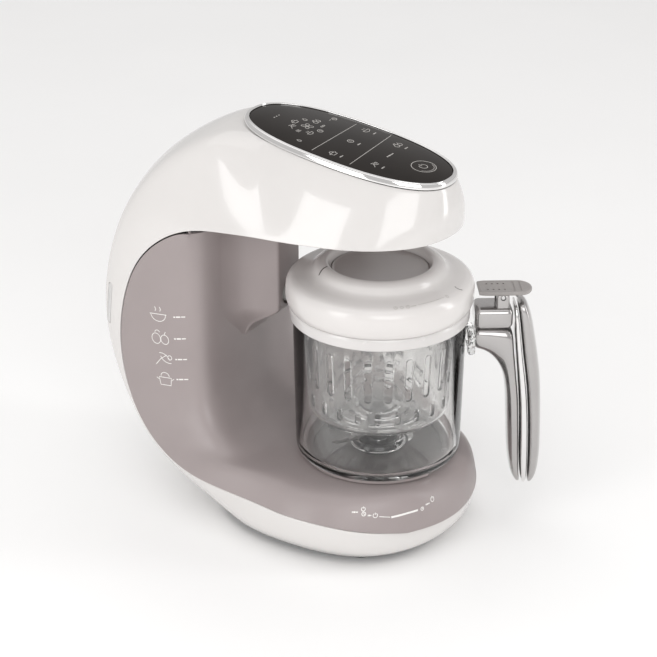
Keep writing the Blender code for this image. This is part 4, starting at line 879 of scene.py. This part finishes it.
def arc_slot(name, inner, outer, start, span, z):
    """A cutter for a curved slot through the basket's floor."""
    rings = []
    for k in range(9):
        angle = start + span * k / 8
        rings.append([Vector((r * cos(angle), r * sin(angle), h))
                      for r, h in ((inner, z - 3), (outer, z - 3), (outer, z + 4), (inner, z + 4))])
    return lofted(name, rings)


def merge(obj, other):
    """Adds another object's mesh to this one as a separate body, and removes it."""
    bm = bmesh.new()
    bm.from_mesh(obj.data)
    bm.from_mesh(other.data)
    bm.to_mesh(obj.data)
    bm.free()
    bpy.data.objects.remove(other, do_unlink=True)
    return obj


def make_blades():
    """The hub with a domed cap, and four curved blades, two up and two down, with toothed edges."""
    foot = DRIVEN_TOP + GAP
    hub = turned("knife_hub", [
        (0, 80), (3.6, 79.8, 0.8), (7.2, 77.4, 1.2), (8.0, 74.5, 0.6), (8.0, 72.4, 0.3), (7.5, 71.8, 0.2),
        (7.5, 70.2, 0.2), (8.0, 69.6, 0.3), (8.0, 68.2, 0.5), (3.0, 67.6, 0.4), (3.0, foot), (0, foot),
    ], 64)
    dress(hub, "blade_hub")
    knives = None
    for i in range(4):
        lift = 5.0 if i % 2 else -6.5
        rings = []
        for k in range(25):
            t = k / 24
            reach = 6.5 + 29.0 * t
            swing = radians(90 * i) - 0.42 * t * t
            chord = 10.5 * (1 - 0.72 * t ** 1.6) + 0.4
            tooth = 0.45 * (k % 2) if 6 < k < 23 else 0.0
            z = 71.0 + lift * max(0.0, t - 0.25) ** 1.25
            along = Vector((cos(swing), sin(swing), 0))
            across = Vector((-sin(swing), cos(swing), 0.12))
            middle = along * reach + Vector((0, 0, z))
            front = middle + across * (chord * 0.5 - tooth)
            bevel = middle + across * (chord * 0.5 - 1.8)
            back = middle - across * chord * 0.5
            up = Vector((0, 0, 0.55))
            rings.append([front, bevel + up, back + up, back - up, bevel - up])
        blade = lofted(f"blade_{i}", rings, angle=25)
        knives = merge(knives, blade) if knives else blade
    disc = turned("blade_disc", [(8.8, 71.6, 0.2), (8.8, 70.4, 0.2), (3.2, 70.4), (3.2, 71.6)], 48)
    knives.name = "steel_blades"
    merge(knives, disc)
    dress(knives, "blades")


def make_lid():
    """The white lid with its sunk middle, the grey disc in it, and the marks on its shoulder."""
    low = COLLAR_TOP + GAP
    lid = turned("jug_lid", [
        (57.6, low, 0.6), (59.2, low + 2.7, 2.0), (LID_RADIUS, low + 6.7, 2.5), (LID_RADIUS, low + 12.6, 2.5),
        (59.3, low + 15.9, 1.5), (57.4, low + 18.5, 1.4), (54.6, low + 19.9, 1.4), (46.6, low + 21.6, 2.0),
        (43.4, low + 23.2, 1.8), (40.6, LID_TOP - 2.0, 2.0), (36.8, LID_TOP - 0.1, 2.0),
        (33.6, LID_TOP - 0.2, 1.4), (32.0, LID_TOP - 2.6, 1.2), (DISC_RADIUS + GAP, LID_TOP - 5.6, 0.8),
        (DISC_RADIUS + GAP, LID_TOP - 8.4), (38, LID_TOP - 5.0, 2.0), (45, LID_TOP - 8.6, 2.0),
        (52, low + 16.6, 2.0), (56.4, low + 11, 2.5), (56.4, low + 3, 1.0), (54.0, low, 0.4),
    ], 192, steps=6)
    dress(lid, "lid")
    top = LID_TOP - 5.2
    disc = turned("lid_insert", [
        (0, top - 1.9), (16, top - 1.5, 8.0), (DISC_RADIUS - 1.6, top - 0.5, 1.0),
        (DISC_RADIUS - 0.9, top + 0.1, 0.4), (DISC_RADIUS, top - 0.5, 0.4), (DISC_RADIUS, top - 3.0, 0.6),
        (0, top - 4.6),
    ], 160)
    dress(disc, "lid_disc", DISC_GREY)

    def shoulder(x, y):
        return onto(lid, (x, y, 200), (0, 0, -1))

    strokes = drawn(arc(0, 0, MARK_RADIUS, MARK_RADIUS, -124, -103, 12), pen=0.4)
    for angle, picture, size in ((-139.5, "timer", 0.36), (-135.6, "switch", 0.36), (-131.4, "timer", 0.36),
                                 (-127.6, "caption", 0.4), (-100.5, "drop", 0.4)):
        turn = radians(angle)
        strokes += stamped((picture, 54.4 * cos(turn), 54.4 * sin(turn), size, angle + 90))
    printed("lid_print", strokes, shoulder, "lid", PRINT_PALE)
    # Dark marks: a small hook on the shoulder at the front, and a wide dark stroke across the raised ring at
    # the rear left.
    turn = radians(-84)
    hook = drawn(arc(0, 0, 2.2, 2.6, 110, 250, 10), pen=0.45)
    dark = moved(hook, 53.8 * cos(turn), 53.8 * sin(turn), 1.0, 8)
    dark += drawn(line((-34.6, 23.8), (-31.0, 23.4), (-27.6, 22.0)), pen=1.0)
    printed("lid_dark_marks", dark, shoulder, "lid", DARK_MARK)


# ---------------------------------------------------------------- handle

LEVER_PIN = (78, 0, 163)
CLIP_PLACE = (58.7, 0, 131.5)
# Each handle section: the inner and the outer point in the handle's plane as (reach, height), and the width.
HANDLE_BODY = [
    ((61.5, 126.6), (61.5, 141.9), 19), ((67.5, 124.4), (68.5, 141.9), 20), ((72.5, 120.8), (77, 141.7), 21),
    ((77, 115), (84.5, 139.5), 21.5), ((80.2, 108), (86.8, 124), 22), ((82, 99), (88.8, 107), 22),
    ((83, 89.5), (90.5, 91.5), 22), ((84.2, 70), (91.7, 70), 22), ((85.6, 50), (92.5, 50), 21),
    ((88, 36), (93.5, 36), 18.5), ((91.3, 28.5), (94.7, 28.3), 13),
]
STRIP_SECTIONS = [
    ((85.3, 157), (87.4, 157), 18), ((85.8, 148), (88.6, 148), 22), ((86.7, 135), (90.3, 135), 22.8),
    ((88.2, 120), (92.3, 120), 23), ((89.8, 105), (94.5, 105), 23), ((91.2, 90), (96.2, 90), 23),
    ((92.3, 70), (97.6, 70), 22.8), ((93, 50), (98.4, 50), 21.8), ((94.1, 36), (98.6, 36), 19),
    ((95.6, 27.5), (98.5, 27.5), 13),
]
COVER_SECTIONS = [
    ((89.5, 159.4), (92.2, 159.4), 12), ((88.2, 156.5), (94.6, 156.5), 19), ((89.3, 148), (97.5, 148), 21.5),
    ((91, 135), (100.2, 135), 22), ((93, 120), (102.8, 120), 22), ((95.2, 105), (104.8, 105), 22),
    ((96.9, 90), (105.9, 90), 22), ((98.3, 70), (106.8, 70), 21.5), ((99.1, 50), (107.1, 50), 20.5),
    ((99.3, 36), (105.9, 36), 17.5), ((99.2, 27.5), (103, 27.5), 12),
]


def section(inner, outer, width, inner_power, outer_power, count=48):
    """A rounded ring between two points of the handle's plane; the powers square up its two sides."""
    middle = (inner + outer) / 2
    points = []
    for i in range(count):
        angle = 2 * pi * i / count
        power = outer_power if cos(angle) > 0 else inner_power
        reach = abs(cos(angle)) ** power * (1 if cos(angle) > 0 else -1)
        side = abs(sin(angle)) ** power * (1 if sin(angle) > 0 else -1)
        spot = middle + (outer - inner) / 2 * reach
        points.append(HANDLE_PLANE @ Vector((spot.x, width / 2 * side, spot.y)))
    return points


def grip_piece(name, stations, powers, ends=(0.9, 0.9), fine=5):
    """A fine skin through the handle's sections, with its ends rounded off."""
    inner = [Vector(station[0]) for station in stations]
    outer = [Vector(station[1]) for station in stations]
    width = [Vector((station[2], 0)) for station in stations]
    steps = (len(stations) - 1) * fine
    rings = []
    for k in range(steps + 1):
        t = k / fine
        a, b, w = ease(inner, t), ease(outer, t), ease(width, t).x
        shrink = 1.0
        for from_end, depth in ((k, ends[0]), (steps - k, ends[1])):
            if from_end < 3 and depth:
                shrink *= (0.62, 0.86, 0.96)[from_end] if depth > 0.5 else (0.9, 0.97, 1.0)[from_end]
        middle = (a + b) / 2
        rings.append(section(middle + (a - middle) * shrink, middle + (b - middle) * shrink,
                             w * (0.5 + shrink / 2), *powers))
    return lofted(name, rings, angle=50)


def make_handle():
    """The pearl grip and cover, the chrome strip between them, the eared block, the clip and the lever."""
    dress(grip_piece("handle_grip", HANDLE_BODY, (0.85, 0.5), (0.3, 0.9)), "handle_shell", PEARL)
    dress(grip_piece("handle_chrome", STRIP_SECTIONS, (0.5, 0.5)), "handle_strip")
    dress(grip_piece("handle_back", COVER_SECTIONS, (0.5, 0.95)), "handle_cover", PEARL)
    block = slab("handle_block", (24.2, 22.0, 14.0), (72.4, 0, 149.3), 3.6, HANDLE_PLANE, 7)
    cut(block, slab("ears", (8.0, 16.0, 10.0), (78, 0, 160.0), 1.2, HANDLE_PLANE), operation="UNION")
    cut(block, slab("ear_gap", (20, 9.0, 10), (78, 0, 162.0), 0.3, HANDLE_PLANE),
        rod("ear_hole", 1.7, 30, LEVER_PIN, "Y", 32, HANDLE_PLANE))
    dress(block, "handle_head", PEARL)
    clip = slab("handle_lug", (4.9, 21.0, 15.0), CLIP_PLACE, 1.9, HANDLE_PLANE, 5)
    cut(clip, slab("lug_window", (9, 11.5, 7.5), CLIP_PLACE, 2.4, HANDLE_PLANE))
    dress(clip, "handle_clip")
    make_lever()


def lever_outline():
    """The thumb lever seen from above: a straight inner end, sides that bow out and a round outer end."""
    side = [(62.4, -8.6), (66.0, -9.6), (76.0, -9.9), (86.0, -9.8)]
    angles = [radians(-80 + 10 * k) for k in range(17)]
    end = [(88.6 + 8.3 * cos(angle), 9.6 * sin(angle)) for angle in angles]
    return side + end + [(r, -y) for r, y in reversed(side)]


def make_lever():
    """The grey thumb lever: a crowned plate with pierced rows, two finger grooves and a boss on its pin."""
    rings = []
    outline = lever_outline()
    middle = Vector((80, 0))
    for inset, z in ((1.0, 165.5), (0.25, 165.6), (0.0, 166.1), (0.0, 167.2), (0.25, 167.75), (1.0, 168.1),
                     (2.0, 168.0), (2.6, 167.8)):
        ring = []
        for r, y in outline:
            inward = (middle - Vector((r, y))).normalized() * inset
            ring.append(HANDLE_PLANE @ Vector((r + inward.x, y + inward.y, z)))
        rings.append(ring)
    lever = lofted("ridged_lever", rings)
    cutters = [rod(f"pierce_{i}_{side}", 0.75, 8, (68.2 + 3.6 * i, 4.4 * side, 167), "Z", 20, HANDLE_PLANE)
               for i in range(4) for side in (-1, 1)]
    cutters += [slab(f"groove_{i}", (1.3, 15.0, 1.6), (85.0 + 4.2 * i, 0, 168.1), 0.5, HANDLE_PLANE)
                for i in range(2)]
    cut(lever, *cutters)
    cut(lever, slab("lever_boss", (5.0, 8.0, 5.6), (78, 0, 163.3), 0.6, HANDLE_PLANE), operation="UNION")
    cut(lever, rod("lever_bore", 1.7, 30, LEVER_PIN, "Y", 32, HANDLE_PLANE))
    dress(lever, "thumb_lever")
    pin = turned("hinge_pin", [(0, -7.5), (1.4, -7.5, 0.3), (1.4, 7.5, 0.3), (0, 7.5)], 32,
                 HANDLE_PLANE @ Matrix.Translation(LEVER_PIN) @ Matrix.Rotation(pi / 2, 4, "X"))
    dress(pin, "lever_pin")
    coil = []
    for i in range(97):
        angle = 2 * pi * i / 32
        coil.append(Vector((89.0 + 2.0 * cos(angle), 2.0 * sin(angle), 160.9 + 2.3 * i / 96)))
    dress(wire("coil_spring", coil, 0.3, HANDLE_PLANE), "lever_spring")


def wire(name, path, radius, place, sides=10):
    """A round wire along a path of points."""
    rings = []
    for i, point in enumerate(path):
        along = (path[min(i + 1, len(path) - 1)] - path[max(i - 1, 0)]).normalized()
        flat = along.cross(Vector((0, 0, 1))).normalized()
        up = flat.cross(along)
        rings.append([place @ (point + (flat * cos(a) + up * sin(a)) * radius)
                      for a in (2 * pi * k / sides for k in range(sides))])
    return lofted(name, rings)


# ---------------------------------------------------------------- deck, underside and back

DOCK_FRONT_Y, DOCK_REAR_Y, DOCK_ROUNDING = 68.6, 97.8, 2.6
DOCK_HALF_WIDTH, DOCK_ROOT_HALF_WIDTH = 13.0, 40.0
DOCK_HEIGHTS = [(202.0, 0.0), (150, 0.0), (140.6, 0.0), (138.6, 0.04), (136, 0.15), (133, 0.33),
                (129.5, 0.54), (126, 0.72), (122, 0.86), (117.0, 0.96)]


def dock_ring(z, back):
    """The steam dock's outline at one height: a blunt prow that flares into the column."""
    front = DOCK_FRONT_Y + (DOCK_REAR_Y - 1.5 - DOCK_FRONT_Y) * back
    root = DOCK_HALF_WIDTH + (DOCK_ROOT_HALF_WIDTH - DOCK_HALF_WIDTH) * (1 - back * 0.4)
    reach = min(DOCK_ROUNDING, (DOCK_REAR_Y - front) / 3)
    corner = Vector((DOCK_HALF_WIDTH, front))
    side = []
    for k in range(6):
        t = k / 5
        side.append((corner - Vector((reach, 0)) * (1 - t)).lerp(corner + Vector((0, reach)) * t, t))
    bend = Vector((DOCK_HALF_WIDTH + 3, DOCK_REAR_Y - 1.2 * (1 - back)))
    end = Vector((root, DOCK_REAR_Y))
    for k in range(1, 25):
        t = k / 24
        side.append(side[5].lerp(bend, t).lerp(bend.lerp(end, t), t))
    right = [Vector((x, y, z)) for x, y in side]
    return right + [Vector((-point.x, point.y, z)) for point in reversed(right)]


def make_deck():
    """The ring that the jug turns on, the switch's plunger, the couplings, the steam dock and its seal."""
    outline = rounded([(50, 55.7, 0.5), (50, 53.4, 0.4), (43, 53.4, 0.4), (43, 55.7, 0.5)])
    rings = []
    for k in range(97):
        angle = radians(-71 + (251 - -71) * k / 96)
        rings.append([Vector((r * cos(angle), r * sin(angle), z)) for r, z in outline])
    dress(lofted("turning_ring", rings), "seat_ring")
    plunger = turned("deck_button", [
        (0, 55.7), (PLUNGER_RADIUS, 55.7, 0.8), (PLUNGER_RADIUS, 46.7, 0.3), (0, 46.7),
    ], 48, Matrix.Translation((0, PLUNGER_Y, 0)))
    dress(plunger, "seat_plunger")
    for name, node, low, high, lug_z, along_y in (("drive_dog", "drive_coupling", 50.7, 52.7, 53.65, False),
                                                  ("driven_dog", "driven_coupling", 56.5, 58.6, 55.55, True)):
        disc = turned(name, [(0, high), (13, high, 0.5), (13, low, 0.5), (0, low)], 72)
        for side in (-1, 1):
            size = (5.0, 6.0, 2.9) if along_y else (6.0, 5.0, 2.9)
            place = (0, 9.0 * side, lug_z) if along_y else (9.0 * side, 0, lug_z)
            cut(disc, slab("lug", size, place, 0.4), operation="UNION")
        dress(disc, node)
    nozzle = turned("steam_nozzle", [
        (0, 0), (0, 3.5), (7.0, 3.5), (7.0, 19, 0.5), (SPOUT_RADIUS, 19, 0.9), (SPOUT_RADIUS, 0, 0.4),
    ], 72, tilted((0, 103.2, SPOUT_Z), pi / 2))
    block = lofted("steam_block", [dock_ring(z, back) for z, back in DOCK_HEIGHTS])
    cut(block, rod("seal_bore", 8.5, 30, (0, 81.6, SPOUT_Z), "Y", 64))
    cut(block, nozzle, operation="UNION")
    dress(block, "steam_spout")
    seal = turned("steam_lip", [
        (3.5, 0), (3.5, 34.9, 0.6), (7.4, 34.9, 0.6), (8.2, 33.6, 0.5), (8.2, 32.2, 0.5), (6.4, 30.4, 0.6),
        (6.4, 22), (6.9, 21, 0.4), (6.4, 20), (6.4, 13), (6.9, 12, 0.4), (6.4, 11), (6.4, 0),
    ], 72, tilted((0, 93, SPOUT_Z), pi / 2))
    dress(seal, "spout_seal")


def make_back():
    """The mains inlet: a rimmed socket with two pins, low on the back."""
    x, y, z = INLET_PLACE
    inlet = turned("mains_inlet", [
        (0, 0), (0, 4.0), (5.2, 4.0, 0.5), (5.2, 11.6, 0.4), (INLET_RADIUS, 12.0, 0.8),
        (INLET_RADIUS, 0, 0.4),
    ], 64, tilted((x, y - 6, z), -pi / 2))
    for side in (-1, 1):
        cut(inlet, rod("pin", 1.1, 6.5, (x + 2.3 * side, y + 0.4, z), "Y", 24), operation="UNION")
    dress(inlet, "power_inlet")


def make_underneath():
    """Feet with a ribbed tread, pan-head screws with a cross, and the ribbed and vented bottom cover."""
    for i, (x, y) in enumerate(((-44, -14), (44, -14), (-44, 74), (44, 74))):
        foot = turned(f"rubber_foot_{i + 1}", [
            (0, 4.0), (8.0, 4.0, 0.3), (8.6, 1.2, 1.0), (7.8, 0.0, 0.5), (6.2, 0.0, 0.3), (5.8, 0.6, 0.2),
            (5.0, 0.6, 0.2), (4.6, 0.0, 0.3), (0, 0.0),
        ], 64, Matrix.Translation((x, y, 0)))
        dress(foot, f"foot_{i + 1}")
    for i, (x, y) in enumerate(((-34, -24), (34, -24), (-34, 84), (34, 84))):
        spot = Matrix.Translation((x, y, 0))
        screw = turned(f"pan_screw_{i + 1}", [
            (0, 4.0), (3.0, 4.0, 0.2), (3.0, 3.2, 0.5), (1.8, 2.4, 0.8), (0, 2.4),
        ], 40, spot)
        for turn in (0, pi / 2):
            spun = spot @ Matrix.Rotation(turn + 0.4, 4, "Z")
            cut(screw, slab("recess", (3.4, 0.8, 1.2), (0, 0, 2.5), 0.15, spun))
        dress(screw, f"cover_screw_{i + 1}")
    around = outline_frame(BOTTOM_HALF_WIDTH - 5, BOTTOM_HALF_LENGTH - 5, BOTTOM_POWER, 128, 0)
    rings = []
    for d, z in ((-0.8, 6.7), (0, 6.4), (0, 4.8), (-0.5, 4.3), (-4.0, 4.3), (-4.6, 4.9), (-6.0, 4.9),
                 (-6.6, 4.3)):
        rings.append([Vector((px + nx * d, py + BOTTOM_CENTRE_Y + ny * d, z)) for px, py, nx, ny in around])
    cover = lofted("base_cover", rings)
    vents = None
    for i in range(9):
        vent = slab(f"vent_{i}", (34.0, 2.0, 12.0), (0, 52 + 4.6 * i, 5.0), 0.9)
        vents = merge(vents, vent) if vents else vent
    cut(cover, vents)
    dress(cover, "bottom_cover")


# ---------------------------------------------------------------- scene

def area_light(name, place, target, size, power):
    light = bpy.data.lights.new(name, "AREA")
    light.shape = "RECTANGLE"
    light.size, light.size_y = size
    light.energy = power
    obj = bpy.data.objects.new(name, light)
    obj.location = place
    obj.rotation_euler = (Vector(target) - Vector(place)).to_track_quat("-Z", "Y").to_euler()
    bpy.context.scene.collection.objects.link(obj)


def make_stage():
    """A pale floor and soft boxes."""
    verts = [Vector((x, 250 * k - 4000, 0)) for k in range(33) for x in (-4000, -2000, 0, 2000, 4000)]
    faces = quads(33, 5)
    floor = object_of("floor", mesh_of("floor", verts, faces))
    floor.location.z = -0.0002
    paper = finish("floor_paper", (0.96, 0.957, 0.953), 0.55, 0.05, 0.01, 3, 0.15, 700, 0.00005)
    floor.data.materials.append(paper)
    shade = bpy.context.scene.world or bpy.data.worlds.new("studio")
    bpy.context.scene.world = shade
    shade.use_nodes = True
    background = shade.node_tree.nodes["Background"]
    background.inputs["Color"].default_value = (1.0, 0.99, 0.985, 1)
    background.inputs["Strength"].default_value = 0.64
    aim = (0.0, 0.0, 0.14)
    area_light("key_box", (-0.95, -0.8, 0.62), aim, (0.8, 0.8), 5.0)
    area_light("top_box", (0.0, 0.6, 2.9), (0.0, 0.5, 0.0), (4.2, 4.2), 32.0)
    area_light("side_box", (-1.25, 0.35, 0.42), aim, (0.5, 1.0), 4.5)
    area_light("front_strip", (0.55, -1.05, 0.5), aim, (0.22, 1.1), 3.0)


def make_camera():
    """The camera that was fitted to the photo: it looks from the front left at a point near the jug's top."""
    azimuth, elevation, distance, aim = radians(-58), radians(25.3), 1.150, (-17.3, 27.6, 139.5)
    back = Vector((sin(azimuth) * cos(elevation), -cos(azimuth) * cos(elevation), sin(elevation)))
    right = Vector((cos(azimuth), sin(azimuth), 0))
    up = back.cross(right)
    data = bpy.data.cameras.new("camera")
    data.lens = 98.3
    data.sensor_width = 36
    camera = bpy.data.objects.new("camera", data)
    basis = Matrix((right, up, back)).transposed().to_4x4()
    camera.matrix_world = Matrix.Translation(world(aim) + back * distance) @ basis
    bpy.context.scene.collection.objects.link(camera)
    bpy.context.scene.camera = camera


def finish_frame_nodes():
    """Every CAD node that still shows takes the full finish of its slot."""
    for name, obj in frame["nodes"].items():
        if obj.type == "MESH":
            obj.data.materials.clear()
            obj.data.materials.append(FINISH[SLOT_OF[name]])


finish_frame_nodes()
inner = make_housing()
make_panel()
panel_marks()
liner_marks(inner)
make_jug()
make_basket()
make_blades()
make_lid()
make_handle()
make_deck()
make_back()
make_underneath()
make_stage()
make_camera()
bpy.context.scene.view_settings.view_transform = "Standard"
